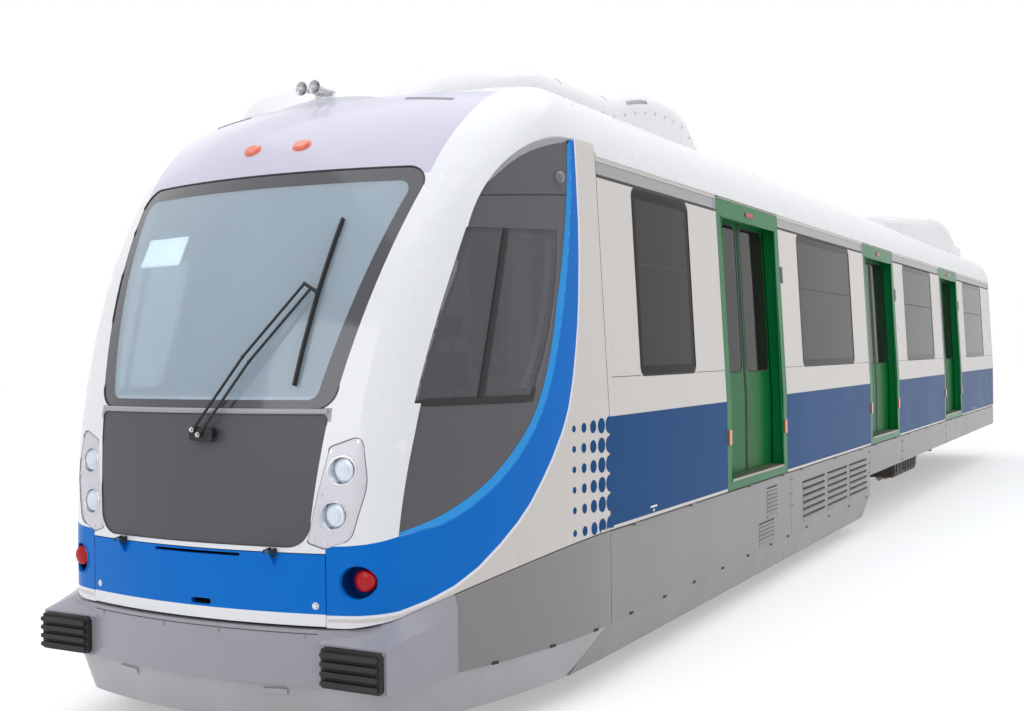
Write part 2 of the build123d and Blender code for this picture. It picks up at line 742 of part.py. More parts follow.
# Gangway bellows: a pleated tunnel with a flat frame at the far end
bellows_half = 750.0
bellows_top = 3080.0
bellows_bottom = 790.0
bellows_wall = 110.0
bellows_corner = 90.0
pleat_count = 8
pleat_depth = 34.0
end_frame = 40.0
bellows_middle = (bellows_bottom + bellows_top) / 2
bellows_height = bellows_top - bellows_bottom
pleat_pitch = (gangway_depth - end_frame) / pleat_count
with BuildPart() as gangway_bellows:
    with BuildSketch(Plane.YZ.offset(aft(gangway_face))):
        with Locations((0, up(bellows_middle))):
            RectangleRounded(2 * bellows_half, bellows_height, bellows_corner)
    extrude(amount=end_frame)
    with BuildSketch(Plane.YZ.offset(aft(gangway_face - end_frame))):
        with Locations((0, up(bellows_middle))):
            RectangleRounded(2 * (bellows_half - pleat_depth), bellows_height - 2 * pleat_depth,
                             bellows_corner - pleat_depth)
    extrude(amount=gangway_depth - end_frame)
    for pleat in range(pleat_count):
        with BuildSketch(Plane.YZ.offset(aft(body_length + (pleat + 0.75) * pleat_pitch))):
            with Locations((0, up(bellows_middle))):
                RectangleRounded(2 * bellows_half, bellows_height, bellows_corner)
        extrude(amount=pleat_pitch / 2)
    with BuildSketch(Plane.YZ.offset(aft(gangway_face + 1))):
        with Locations((0, up(bellows_middle))):
            Rectangle(2 * (bellows_half - bellows_wall), bellows_height - 2 * bellows_wall)
    extrude(amount=gangway_depth + 2, mode=Mode.SUBTRACT)
save(gangway_bellows, "gangway_bellows")

# Bumper with its buffer housings, and the ribbed buffer pads in them
buffer_across = 935.0
housing_width = 370.0
housing_top = 556.0
housing_front = 40.0
housing_depth = 150.0
buffer_size = (340.0, 190.0)
buffer_rib_count = 4
buffer_rib_pitch = 45.0
buffer_rib_size = (322.0, 24.0)
buffer_face = 12.0
buffer_height = (lower_edge + housing_top) / 2
with BuildPart() as bumper:
    extrude(plan_sketch(lower_edge, -bumper_proud, 2100.0), amount=bumper_top - lower_edge)
    extrude(plan_sketch(lower_edge, skirt_thickness, 2200.0), amount=bumper_top - lower_edge,
            mode=Mode.SUBTRACT)
    add(box_between(front_station, 2400.0, -2 * half_body, 2 * half_body, 0, 1000.0), mode=Mode.SUBTRACT)
    for side in (1, -1):
        with BuildSketch(Plane.YZ.offset(aft(housing_front + housing_depth))):
            with Locations((side * buffer_across, up(buffer_height))):
                RectangleRounded(housing_width, housing_top - lower_edge, 22.0)
        extrude(amount=housing_depth)
save(bumper, "bumper")

with BuildPart() as buffers:
    for side in (1, -1):
        with BuildSketch(Plane.YZ.offset(aft(housing_front))):
            with Locations((side * buffer_across, up(buffer_height))):
                RectangleRounded(*buffer_size, 14.0)
        extrude(amount=housing_front - buffer_face)
        with BuildSketch(Plane.YZ.offset(aft(buffer_face))):
            with Locations((side * buffer_across, up(buffer_height))):
                with GridLocations(0, buffer_rib_pitch, 1, buffer_rib_count):
                    RectangleRounded(*buffer_rib_size, 10.0)
        extrude(amount=buffer_face + 12.0)
save(buffers, "buffers")

# Apron: the valance that turns in below the bumper and the front skirts, cut back on a slant
with BuildPart() as apron:
    depth = lower_edge - valance_bottom
    extrude(plan_sketch(lower_edge, valance_step, 2100.0), amount=depth, taper=valance_taper, dir=(0, 0, -1))
    extrude(plan_sketch(lower_edge, valance_step + skirt_thickness, 2200.0), amount=depth,
            taper=valance_taper,
            dir=(0, 0, -1), mode=Mode.SUBTRACT)
    with BuildSketch(Plane.XZ):
        with BuildLine():
            Polyline([(aft(s), up(z)) for s, z in (
                (apron_rear_top, lower_edge + 10), (apron_rear_bottom, valance_bottom - 10), (2600.0, 0.0),
                (2600.0, lower_edge + 10))], close=True)
        make_face()
    extrude(amount=2 * half_body, both=True, mode=Mode.SUBTRACT)
save(apron, "apron")

# Side skirts: a curved one beside the cab, then flat ones with rounded shoulders, louvres and valances
valance_in = (lower_edge - valance_bottom) * sin(radians(valance_taper)) / cos(radians(valance_taper))
for side, name in ((1, "skirts_left"), (-1, "skirts_right")):
    with BuildPart() as skirts:
        extrude(plan_sketch(lower_edge, 0.0, 2100.0), amount=sill_height - lower_edge)
        extrude(plan_sketch(lower_edge, skirt_thickness, 2200.0), amount=sill_height - lower_edge,
                mode=Mode.SUBTRACT)
        add(belly(-skirt_gap), mode=Mode.INTERSECT)
        add(box_between(-400.0, front_station + skirt_gap, -half_body, half_body, 0, 1200.0),
            mode=Mode.SUBTRACT)
        add(box_between(nose_seam - skirt_gap, 3000.0, -half_body, half_body, 0, 1200.0), mode=Mode.SUBTRACT)
        add(box_between(-400.0, 3000.0, 0, -side * half_body, 0, 1200.0), mode=Mode.SUBTRACT)
        start = nose_seam
        for end, low, has_valance in skirt_table:
            outline = [(half_body, skirt_top), (half_body, low)]
            if has_valance:
                foot = half_body - valance_step - valance_in
                outline += [(half_body - valance_step, low), (foot, valance_bottom),
                            (foot - skirt_thickness, valance_bottom), (half_body - skirt_thickness, low + 12)]
            else:
                outline += [(half_body - skirt_thickness, low)]
            outline += [(half_body - skirt_thickness, skirt_top)]
            with BuildSketch(Plane.YZ.offset(aft(end - skirt_gap))) as profile:
                with BuildLine():
                    Polyline([(side * y, up(z)) for y, z in outline], close=True)
                make_face()
                shoulder = profile.vertices().filter_by(
                    lambda tip: abs(abs(tip.X) - half_body) < 1 and abs(tip.Y - up(skirt_top)) < 1
                )
                fillet(shoulder, skirt_shoulder)
            extrude(amount=end - skirt_gap - start)
            start = end
        for place, height, columns, rows, pitch, step, length, tall in louvre_table:
            origin = (aft(place), side * (half_body + 60.0), up(height))
            with BuildSketch(Plane(origin=origin, x_dir=(-side, 0, 0), z_dir=(0, side, 0))):
                with GridLocations(pitch, step, columns, rows):
                    RectangleRounded(length, tall, tall / 2 - 1)
            extrude(amount=160.0, dir=(0, -side * 0.8, 0.6), mode=Mode.SUBTRACT)
    save(skirts, name)

# Underframe: floor, solebars, cross-members, pivots, front beam, drawgear box and jacking pads
sole_outer = sole_middle + sole_width / 2
sole_inner = sole_middle - sole_width / 2
beam_face = skirt_thickness
front_beam = (480.0, 590.0)
front_beam_half = 730.0
slab_front = 420.0
draft_half = 420.0
with BuildPart() as underframe:
    extrude(plan_sketch(slab_bottom, mask_wall + 8, 2200.0), amount=slab_depth)
    add(box_between(-400.0, slab_front, -half_body, half_body, 0, 1200.0), mode=Mode.SUBTRACT)
    add(box_between(nose_seam, 2300.0, -half_body, half_body, 0, 1200.0), mode=Mode.SUBTRACT)
    add(box_between(nose_seam, roof_end, -slab_half, slab_half, slab_bottom, sill_height))
    add(box_between(nose_seam, roof_end, 5 - lining, lining - 5, sill_height - 1, floor_height))
    with BuildPart(mode=Mode.PRIVATE) as headstock:
        extrude(plan_sketch(front_beam[0], beam_face, 2200.0), amount=front_beam[1] - front_beam[0])
        add(box_between(-100.0, 210.0, -front_beam_half, front_beam_half, 0, 1000.0), mode=Mode.INTERSECT)
    add(headstock.part)
    for side in (1, -1):
        add(box_between(200.0, 960.0, side * (draft_half - 40), side * (draft_half + 40), front_beam[0],
                        slab_bottom + 1))
        with BuildSketch(Plane.YZ.offset(aft(roof_end))):
            with BuildLine():
                Polyline([(side * y, up(z)) for y, z in (
                    (sole_outer, slab_bottom + 1), (sole_outer, slab_bottom - sole_plate),
                    (sole_inner + sole_plate, slab_bottom - sole_plate), (sole_inner + sole_plate,
                        sole_bottom + sole_plate),
                    (sole_outer, sole_bottom + sole_plate), (sole_outer, sole_bottom),
                    (sole_inner, sole_bottom), (sole_inner, slab_bottom + 1))], close=True)
            make_face()
        extrude(amount=roof_end - 900.0)
        for place in jacking_table:
            add(box_between(place - 100, place + 100, side * sole_inner, side * sole_outer,
                            sole_bottom - jacking_pad, slab_bottom + 1))
    for place in member_table:
        add(box_between(place - 60, place + 60, -sole_inner - 1, sole_inner + 1, sole_bottom,
                        sole_bottom + sole_plate))
        add(box_between(place - sole_plate, place + sole_plate, -sole_inner - 1, sole_inner + 1, sole_bottom,
                        slab_bottom + 1))
    for place in bogie_places:
        add(box_between(place - 300, place + 300, -sole_inner - 1, sole_inner + 1, slab_bottom - 40,
                        slab_bottom + 1))
        with BuildSketch(Plane.XY.offset(up(slab_bottom - pivot_depth))):
            with Locations((aft(place), 0)):
                Circle(pivot_radius)
        extrude(amount=pivot_depth + 1)
    add(box_between(18500.0, 18800.0, -150.0, 150.0, sole_bottom, slab_bottom + 1))
save(underframe, "underframe")

# Bogies: two cranked side beams, transoms with a pivot ring, axle boxes, coil springs and air springs
beam_rise = 220.0
beam_dip = 90.0
box_radius = 112.0
spring_radius = 58.0
spring_seat = 175.0
ring_half = 35.0
ring_outer = 205.0
transom_place = 250.0
air_spring_top = slab_bottom - 40 - pivot_gap
air_spring_foot = axle_height + beam_dip - 1
half_base = wheelbase / 2
beam_outline = (
    (-half_base - 260, beam_rise), (-half_base + 240, beam_rise), (-420, beam_dip), (420, beam_dip),
    (half_base - 240, beam_rise), (half_base + 260, beam_rise), (half_base + 260, beam_rise - 110),
    (half_base - 150, beam_rise - 110), (480, beam_dip - 125), (-480, beam_dip - 125),
    (-half_base + 150, beam_rise - 110), (-half_base - 260, beam_rise - 110),
)
for place, name in zip(bogie_places, ("front", "rear")):
    with BuildPart() as bogie_frame:
        for side in (1, -1):
            with BuildSketch(Plane.XZ.offset(-side * beam_middle - beam_width / 2)):
                with BuildLine():
                    FilletPolyline([(aft(place) + x, up(axle_height + z)) for x, z in beam_outline],
                                   radius=25.0,
                                   close=True)
                make_face()
            extrude(amount=beam_width)
            for axle in (-1, 1):
                middle = place + axle * half_base
                with BuildSketch(Plane.XZ.offset(-side * beam_middle - beam_width / 2 + 5)):
                    with Locations((aft(middle), up(axle_height))):
                        Circle(box_radius)
                    with Locations((aft(middle), up(axle_height))):
                        Rectangle(2 * (spring_seat + spring_radius), 60.0)
                extrude(amount=beam_width - 10)
                with BuildSketch(Plane.XY.offset(up(axle_height + 29))):
                    for step in (-1, 1):
                        with Locations((aft(middle + step * spring_seat), side * beam_middle)):
                            Circle(spring_radius)
                extrude(amount=beam_rise - 110 - 28)
            with BuildSketch(Plane(origin=(aft(place), side * beam_middle, up(air_spring_foot)), x_dir=(1,
                0, 0),
                                   z_dir=(0, -1, 0))):
                with BuildLine():
                    tall = air_spring_top - air_spring_foot
                    Polyline((0, 0), (air_spring_radius - 40, 0), (air_spring_radius - 40, 30))
                    ThreePointArc((air_spring_radius - 40, 30), (air_spring_radius, (30 + tall / 2) / 2),
                                  (air_spring_radius - 40, tall / 2))
                    ThreePointArc((air_spring_radius - 40, tall / 2), (air_spring_radius,
                        (tall + tall / 2 - 20) / 2),
                                  (air_spring_radius - 40, tall - 20))
                    Polyline((air_spring_radius - 40, tall - 20), (air_spring_radius - 40, tall), (0,
                        tall), (0, 0))
                make_face()
            revolve(axis=Axis((aft(place), side * beam_middle, 0), (0, 0, 1)))
        for step in (-1, 1):
            add(box_between(place + step * transom_place - 60, place + step * transom_place + 60,
                            -beam_middle,
                            beam_middle, axle_height - 10, axle_height + 80))
        with BuildSketch(Plane.XY.offset(up(slab_bottom - pivot_depth + 10 - ring_half))):
            with Locations((aft(place), 0)):
                Circle(ring_outer)
                Circle(pivot_radius + pivot_bush, mode=Mode.SUBTRACT)
        extrude(amount=2 * ring_half)
        for axle in (-1, 1):
            middle = place + axle * half_base
            with BuildSketch(Plane.XZ):
                with Locations((aft(middle), up(axle_height))):
                    Circle(journal_radius + journal_gap)
            extrude(amount=half_body, both=True, mode=Mode.SUBTRACT)
    save(bogie_frame, f"bogie_frame_{name}")

# Wheelsets: axle, two brake discs and two flanged wheels, turned from one half section
tread_in = tread_middle - wheel_width / 2
tread_out = tread_middle + wheel_width / 2
rim_in = wheel_radius - 55
flange_top = wheel_radius + flange_height
half_section = [
    (0, 0), (axle_radius, 0), (axle_radius, disc_place), (disc_radius, disc_place),
    (disc_radius, disc_place + disc_width), (axle_radius, disc_place + disc_width), (axle_radius,
        tread_in - 30),
    (hub_radius, tread_in - 20), (hub_radius, tread_in + 25), (rim_in, tread_in + 35), (rim_in, tread_in),
    (flange_top - 6, tread_in), (flange_top, tread_in + 8), (flange_top - 4, tread_in + 20),
    (wheel_radius + 3, tread_in + 32), (wheel_radius - 2, tread_out - 6), (wheel_radius - 8, tread_out),
    (rim_in + 5, tread_out), (rim_in + 5, tread_in + 60), (hub_radius, tread_in + 55), (hub_radius,
        tread_out + 5),
    (journal_radius, tread_out + 5), (journal_radius, beam_middle + 60), (0, beam_middle + 60),
]
axles = [place + step * half_base for place in bogie_places for step in (-1, 1)]
for number, middle in enumerate(axles, start=1):
    with BuildPart() as wheelset:
        with BuildSketch(Plane.XY.offset(up(axle_height))):
            with BuildLine():
                Polyline([(aft(middle) + x, y) for x, y in half_section], close=True)
            make_face()
            mirror(about=Plane.XZ)
        revolve(axis=Axis((aft(middle), 0, up(axle_height)), (0, 1, 0)))
    save(wheelset, f"wheelset_{number}")


# Roof fairings, lofted through rounded sections (place, half width, top, camber of the top, shoulder radius)
front_fairing = (
    (860.0, 560.0, 3232.0, 62.0, 20.0), (1520.0, 880.0, 3560.0, 60.0, 90.0),
    (2260.0, 955.0, 3742.0, 52.0, 150.0),
    (3220.0, 965.0, 3864.0, 50.0, 165.0), (4030.0, 965.0, 3878.0, 50.0, 165.0),
    (4770.0, 965.0, 4022.0, 50.0, 165.0), (5300.0, 962.0, 4054.0, 50.0, 165.0),
    (5750.0, 950.0, 3990.0, 50.0, 150.0), (6330.0, 900.0, 3680.0, 40.0, 40.0),
)
rear_fairing = (
    (12400.0, 880.0, 3716.0, 40.0, 40.0), (13300.0, 940.0, 3808.0, 50.0, 120.0),
    (14650.0, 960.0, 3914.0, 50.0, 160.0),
    (16000.0, 965.0, 4036.0, 50.0, 165.0), (16770.0, 965.0, 4058.0, 50.0, 165.0),
    (17670.0, 955.0, 3896.0, 50.0, 140.0), (18700.0, 920.0, 3764.0, 40.0, 80.0),
)
fairing_foot = 3100.0


def fairing_section(place, half, top, camber, shoulder):
    """Rounded cross-section of a roof fairing."""
    edge = up(top - camber)
    with BuildSketch(Plane.YZ.offset(aft(place))) as section:
        with BuildLine():
            Polyline((-half, edge), (-half, up(fairing_foot)), (half, up(fairing_foot)), (half, edge))
            ThreePointArc((half, edge), (0, up(top)), (-half, edge))
        make_face()
        fillet(section.vertices().filter_by(lambda tip: abs(tip.Y - edge) < 1), shoulder)
    return section.sketch


def fairing(table):
    """Fairing lofted through its sections."""
    with BuildPart() as form:
        loft(sections=[fairing_section(*row) for row in table])
    return form.part


horn_place = 1030.0
horn_height = 3466.0
horn_middle = -50.0
horn_spread = 46.0
horn_mouth = 42.0
horn_throat = 11.0
horn_length = 240.0
with BuildPart() as front_roof_pod:
    add(fairing(front_fairing))
    add(box_between(horn_place - 60, horn_place + horn_length + 20, horn_middle - horn_spread - 70,
                    horn_middle + horn_spread + 70, horn_height - 200, horn_height + 200), mode=Mode.SUBTRACT)
    add(box_between(nose_seam, 7000.0, -2 * half_body, 2 * half_body, fairing_foot - 5, fairing_foot + 5),
        mode=Mode.SUBTRACT)
    add(roof.part, mode=Mode.SUBTRACT)
    add(outer_nose, mode=Mode.SUBTRACT)
save(front_roof_pod, "front_roof_pod")

with BuildPart() as rear_roof_pod:
    add(fairing(rear_fairing))
    add(roof.part, mode=Mode.SUBTRACT)
save(rear_roof_pod, "rear_roof_pod")

# Air horns: two trumpets on a bracket in front of the fairing
with BuildPart() as air_horns:
    add(box_between(horn_place + 150, horn_place + 190, horn_middle - 62, horn_middle + 62, 3300.0,
                    horn_height + 4))
    add(outer_nose, mode=Mode.SUBTRACT)
    for step in (-1, 1):
        origin = (aft(horn_place + horn_length), horn_middle + step * horn_spread, up(horn_height))
        with BuildSketch(Plane(origin=origin, x_dir=(1, 0, 0), z_dir=(0, -1, 0))):
            with BuildLine():
                Polyline((0, 0), (0, horn_throat), (horn_length / 2, horn_throat + 3))
                ThreePointArc((horn_length / 2, horn_throat + 3), (horn_length * 0.84, horn_throat + 12),
                              (horn_length, horn_mouth))
                Polyline((horn_length, horn_mouth), (horn_length, horn_mouth - 4))
                ThreePointArc((horn_length, horn_mouth - 4), (horn_length * 0.86, horn_throat + 6),
                              (horn_length / 2, 6))
                Polyline((horn_length / 2, 6), (horn_length / 2, 0), (0, 0))
            make_face()
        revolve(axis=Axis(origin, (1, 0, 0)))
save(air_horns, "air_horns")

# Bulkhead behind the cab, with two windows, and its hinged door
bulkhead_place = nose_seam + bulkhead_rear
bulkhead_top = 3000.0
door_top = 2900.0
hinge_axis = (bulkhead_place + door_hinge_radius + 6.0, door_half)
with BuildPart() as cab_bulkhead:
    heights = [floor_height, band_height, bulkhead_top]
    wall = [(wall_depth + 2 + lean_in(h) - half_body, up(h)) for h in heights]
    with BuildSketch(Plane.YZ.offset(aft(bulkhead_place))):
        with BuildLine():
            Polyline(wall + [(-y, z) for y, z in reversed(wall)], close=True)
        make_face()
        with Locations((0, up((floor_height + door_top) / 2 - 10))):
            Rectangle(2 * door_half, door_top - floor_height + 20, mode=Mode.SUBTRACT)
        for side in (1, -1):
            with Locations((side * 780.0, up(2230.0))):
                RectangleRounded(620.0, 900.0, 60.0, mode=Mode.SUBTRACT)
    extrude(amount=bulkhead_wall)
save(cab_bulkhead, "cab_bulkhead")

with BuildPart() as cab_door:
    with BuildSketch(Plane.YZ.offset(aft(bulkhead_place - 2))):
        with Locations((0, up((floor_height + door_top) / 2))):
            Rectangle(2 * (door_half - door_gap), door_top - floor_height - 2 * door_gap)
        with Locations((0, up(2250.0))):
            RectangleRounded(420.0, 900.0, 60.0, mode=Mode.SUBTRACT)
    extrude(amount=bulkhead_wall - 4)
    with BuildSketch(Plane.XY.offset(up(floor_height + 60))):
        with Locations((aft(hinge_axis[0]), hinge_axis[1])):
            Circle(door_hinge_radius)
        with Locations((aft(bulkhead_place + 4), door_half - 25)):
            Rectangle(14.0, 42.0)
    extrude(amount=door_top - floor_height - 120)
save(cab_door, "cab_door")

# Driver's desk with a raised instrument hood, and the seat behind it
desk_front = 240.0
desk_half = 880.0
with BuildPart() as cab_desk:
    with BuildSketch(Plane.XZ.offset(-desk_half)):
        with BuildLine():
            Polyline([(aft(s), up(z)) for s, z in (
                (desk_front, floor_height), (desk_front, 1500.0), (520.0, 1560.0), (640.0, 1470.0),
                (900.0, 1400.0),
                (900.0, 1350.0), (700.0, 1330.0), (700.0, floor_height))], close=True)
        make_face()
    extrude(amount=2 * desk_half)
    add(box_between(-100.0, slab_front + 2, -half_body, half_body, 0, floor_height + 80), mode=Mode.SUBTRACT)
    add(box_between(560.0, 720.0, 150.0, 690.0, floor_height + 60, 1300.0), mode=Mode.SUBTRACT)
    with BuildSketch(Plane.XZ.offset(-700.0)):
        with BuildLine():
            Polyline([(aft(s), up(z)) for s, z in ((430.0, 1520.0), (470.0, 1640.0), (560.0, 1625.0),
                                                   (640.0, 1468.0))],
                     close=True)
        make_face()
    extrude(amount=560.0)
save(cab_desk, "cab_desk")

seat_middle = 420.0
seat_height = 1420.0
with BuildPart() as driver_seat:
    with BuildSketch(Plane.XZ.offset(-(seat_middle + 220))):
        with BuildLine():
            FilletPolyline([(aft(s), up(z)) for s, z in (
                (1210.0, seat_height - 90), (1210.0, seat_height), (1590.0, seat_height - 10), (1700.0,
                    1980.0),
                (1790.0, 1980.0), (1700.0, seat_height - 90))], radius=[30.0, 40.0, 60.0, 38.0, 38.0,
                    50.0], close=True)
        make_face()
    extrude(amount=440.0)
    with BuildSketch(Plane.XZ.offset(-(seat_middle + 120))):
        with BuildLine():
            FilletPolyline([(aft(s), up(z)) for s, z in (
                (1700.0, 1975.0), (1730.0, 2170.0), (1800.0, 2160.0), (1770.0, 1970.0))], radius=20.0,
                close=True)
        make_face()
    extrude(amount=240.0)
    with BuildSketch(Plane.XY.offset(up(floor_height))):
        with Locations((aft(1450.0), seat_middle)):
            Circle(190.0)
    extrude(amount=30.0)
    with BuildSketch(Plane.XY.offset(up(floor_height + 29))):
        with Locations((aft(1450.0), seat_middle)):
            Circle(60.0)
    extrude(amount=seat_height - floor_height - 100)
save(driver_seat, "driver_seat")

# Benches along both walls, one below each window, and grab poles with rails
benches = [(fore + 60, rear - 60) for fore, rear in windows]
pole_across = half_body - wall_depth - pole_inset
rail_level = 2880.0
seat_front = lining - bench_depth
with BuildPart() as passenger_seats:
    for side in (1, -1):
        for fore, rear in benches:
            with BuildSketch(Plane.YZ.offset(aft(rear))):
                with BuildLine():
                    FilletPolyline([(side * y, up(z)) for y, z in (
                        (seat_front, bench_height - 70), (seat_front, bench_height - 5),
                        (lining - 90, bench_height - 25), (lining - 60, bench_height + 380),
                        (lining - 25, bench_height + 380), (lining - 5, bench_height - 70))],
                        radius=[12.0, 25.0, 40.0, 12.0, 12.0, 12.0], close=True)
                make_face()
            extrude(amount=rear - fore)
            add(box_between(fore + 100, rear - 100, side * (lining - 160), side * (lining - 10), floor_height,
                            bench_height - 65))
save(passenger_seats, "passenger_seats")

with BuildPart() as grab_poles:
    for side in (1, -1):
        for fore, rear in benches:
            for place in (fore, rear):
                with BuildSketch(Plane.XY.offset(up(floor_height))):
                    with Locations((aft(place), side * pole_across)):
                        Circle(pole_radius)
                extrude(amount=cantrail_height - floor_height)
            add(bar((aft(rear), side * pole_across, up(rail_level)), (aft(fore), side * pole_across,
                up(rail_level)),
                    pole_radius - 3))
save(grab_poles, "grab_poles")

# Under-floor equipment
with BuildPart() as engine:
    add(box_between(6250.0, 8450.0, -560.0, 560.0, 300.0, slab_bottom))
save(engine, "engine")

tank_bottom = 360.0
with BuildPart() as fuel_tank:
    with BuildSketch(Plane.YZ.offset(aft(10450.0))):
        with BuildLine():
            FilletPolyline([(y, up(z)) for y, z in (
                (-950.0, slab_bottom - 20), (950.0, slab_bottom - 20), (950.0, tank_bottom + 90),
                (820.0, tank_bottom), (-820.0, tank_bottom), (-950.0, tank_bottom + 90))], radius=40.0,
                close=True)
        make_face()
    extrude(amount=1450.0)
    for place in (9250.0, 9725.0, 10200.0):
        with BuildSketch(Plane.YZ.offset(aft(place + 30))):
            with BuildLine():
                FilletPolyline([(y, up(z)) for y, z in (
                    (-965.0, slab_bottom), (965.0, slab_bottom), (965.0, tank_bottom + 82),
                    (828.0, tank_bottom - 12), (-828.0, tank_bottom - 12), (-965.0, tank_bottom + 82))],
                    radius=20.0, close=True)
            make_face()
        extrude(amount=60.0)
save(fuel_tank, "fuel_tank")

with BuildPart() as battery_boxes:
    for side in (1, -1):
        add(box_between(10950.0, 12400.0, side * 620.0, side * 1235.0, 330.0, sole_bottom))
        for place in (11315.0, 12035.0):
            add(box_between(place - 330, place + 330, side * 1230.0, side * 1250.0, 360.0, sole_bottom - 30))
            for rib in (-1, 0, 1):
                add(box_between(place + rib * 200 - 15, place + rib * 200 + 15, side * 1248.0,
                                side * 1258.0, 380.0,
                                sole_bottom - 50))
save(battery_boxes, "battery_boxes")

reservoir_radius = 185.0
reservoir_length = 1450.0
dish_depth = 95.0
dish_radius = (reservoir_radius ** 2 + dish_depth ** 2) / (2 * dish_depth)
dish_angle = asin(reservoir_radius / dish_radius) / 2
dish_middle = (dish_radius * (1 - cos(dish_angle)), dish_radius * sin(dish_angle))
with BuildPart() as air_reservoirs:
    for side in (1, -1):
        origin = (aft(12400.0), side * 250.0, up(slab_bottom - reservoir_radius - 5))
        with BuildSketch(Plane(origin=origin, x_dir=(1, 0, 0), z_dir=(0, 1, 0))):
            with BuildLine():
                Line((0, 0), (reservoir_length, 0))
                ThreePointArc((reservoir_length, 0), (reservoir_length - dish_middle[0], dish_middle[1]),
                              (reservoir_length - dish_depth, reservoir_radius))
                Line((reservoir_length - dish_depth, reservoir_radius), (dish_depth, reservoir_radius))
                ThreePointArc((dish_depth, reservoir_radius), dish_middle, (0, 0))
            make_face()
        revolve(axis=Axis(origin, (1, 0, 0)))
        for place in (11250.0, 12100.0):
            add(box_between(place - 30, place + 30, side * 250.0 - 110, side * 250.0 + 110, slab_bottom - 90,
                            slab_bottom))
save(air_reservoirs, "air_reservoirs")

# Couplers: an automatic one stowed behind the hatch, and the drawbar to the next car
bar_half = 60.0
bar_bottom = 560.0
eye_place = gangway_face - 64.0
eye_radius = 25.0
with BuildPart() as couplers:
    add(box_between(230.0, 470.0, -55.0, 55.0, 700.0, 800.0))
    with BuildSketch(Plane.YZ.offset(aft(250.0))):
        with Locations((0, up(745.0))):
            RectangleRounded(300.0, 220.0, 30.0)
            with Locations((-70.0, 20.0)):
                Circle(52.0, mode=Mode.SUBTRACT)
    extrude(amount=140.0)
    with BuildSketch(Plane.YZ.offset(aft(250.0))):
        with Locations((70.0, up(765.0))):
            Circle(58.0)
    with BuildSketch(Plane.YZ.offset(aft(60.0))):
        with Locations((70.0, up(765.0))):
            Circle(30.0)
    loft()
    add(box_between(470.0, 500.0, -110.0, 110.0, 650.0, slab_bottom))
    with BuildSketch(Plane.XY.offset(up(bar_bottom))):
        with Locations((aft(eye_place), 0)):
            Circle(bar_half)
        with Locations((aft((eye_place + 18500.0) / 2), 0)):
            Rectangle(eye_place - 18500.0, 2 * bar_half)
        with Locations((aft(eye_place), 0)):
            Circle(eye_radius, mode=Mode.SUBTRACT)
    extrude(amount=2 * bar_half)
    add(box_between(18500.0, 18640.0, -bar_half, bar_half, bar_bottom + 100, sole_bottom))
save(couplers, "couplers")
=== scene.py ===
"""Cab motor car of a diesel light-rail unit: paint, glass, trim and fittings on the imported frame."""
import logging
import math
from dataclasses import dataclass, field
from enum import Enum
from typing import Callable, Optional, Sequence, Union

import bmesh
import bpy
from mathutils import Matrix, Vector
from mathutils.bvhtree import BVHTree
from mathutils.geometry import barycentric_transform


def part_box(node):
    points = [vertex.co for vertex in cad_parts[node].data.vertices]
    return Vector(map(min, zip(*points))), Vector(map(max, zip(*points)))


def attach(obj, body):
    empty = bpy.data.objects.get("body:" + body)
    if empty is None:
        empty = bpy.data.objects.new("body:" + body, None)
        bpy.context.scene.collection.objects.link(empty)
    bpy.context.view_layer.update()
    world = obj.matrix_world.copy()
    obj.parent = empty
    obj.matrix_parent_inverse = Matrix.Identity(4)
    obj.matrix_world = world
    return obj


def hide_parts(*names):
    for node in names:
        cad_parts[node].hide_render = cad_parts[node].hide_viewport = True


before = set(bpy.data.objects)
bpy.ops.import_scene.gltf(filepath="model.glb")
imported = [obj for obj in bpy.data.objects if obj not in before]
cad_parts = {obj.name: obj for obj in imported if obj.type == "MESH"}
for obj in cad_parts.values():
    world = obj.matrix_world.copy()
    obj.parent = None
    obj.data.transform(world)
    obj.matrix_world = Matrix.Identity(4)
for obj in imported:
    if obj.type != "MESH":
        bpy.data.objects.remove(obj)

LOG = logging.getLogger("metro_car")
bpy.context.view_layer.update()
RAIL = 0.028
SEAM = 1.910
SIDES = (1, -1)
UP, AHEAD, LEFT = Vector((0, 0, 1)), Vector((1, 0, 0)), Vector((0, 1, 0))
Pair = tuple[float, float]
Colour = tuple[float, float, float]
Inputs = dict[Union[str, int], object]


# Places on the car
@dataclass(frozen=True)
class CarFrame:
    """Places on the car, by distance behind the nose, side and height above the rail, in metres."""

    nose_x: float
    half: float = 1.430
    lean: float = 0.0489
    knee: float = 1.550

    def at(self, s: float, y: float, h: float) -> Vector:
        """Point at a distance behind the nose, a Y and a height."""
        return Vector((self.nose_x - s, y, h + RAIL))

    def wall(self, s: float, h: float, side: int, depth: float = 0.0) -> Vector:
        """Point in the flat body side, by its depth behind the skin."""
        return self.at(s, side * (self.half - depth - self.lean * max(0.0, h - self.knee)), h)

    def out(self, side: int) -> Vector:
        """Outward normal of the leaning body side."""
        return Vector((0.0, side, self.lean)).normalized()


CAR = CarFrame(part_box("side_wall_left")[1].x + SEAM)


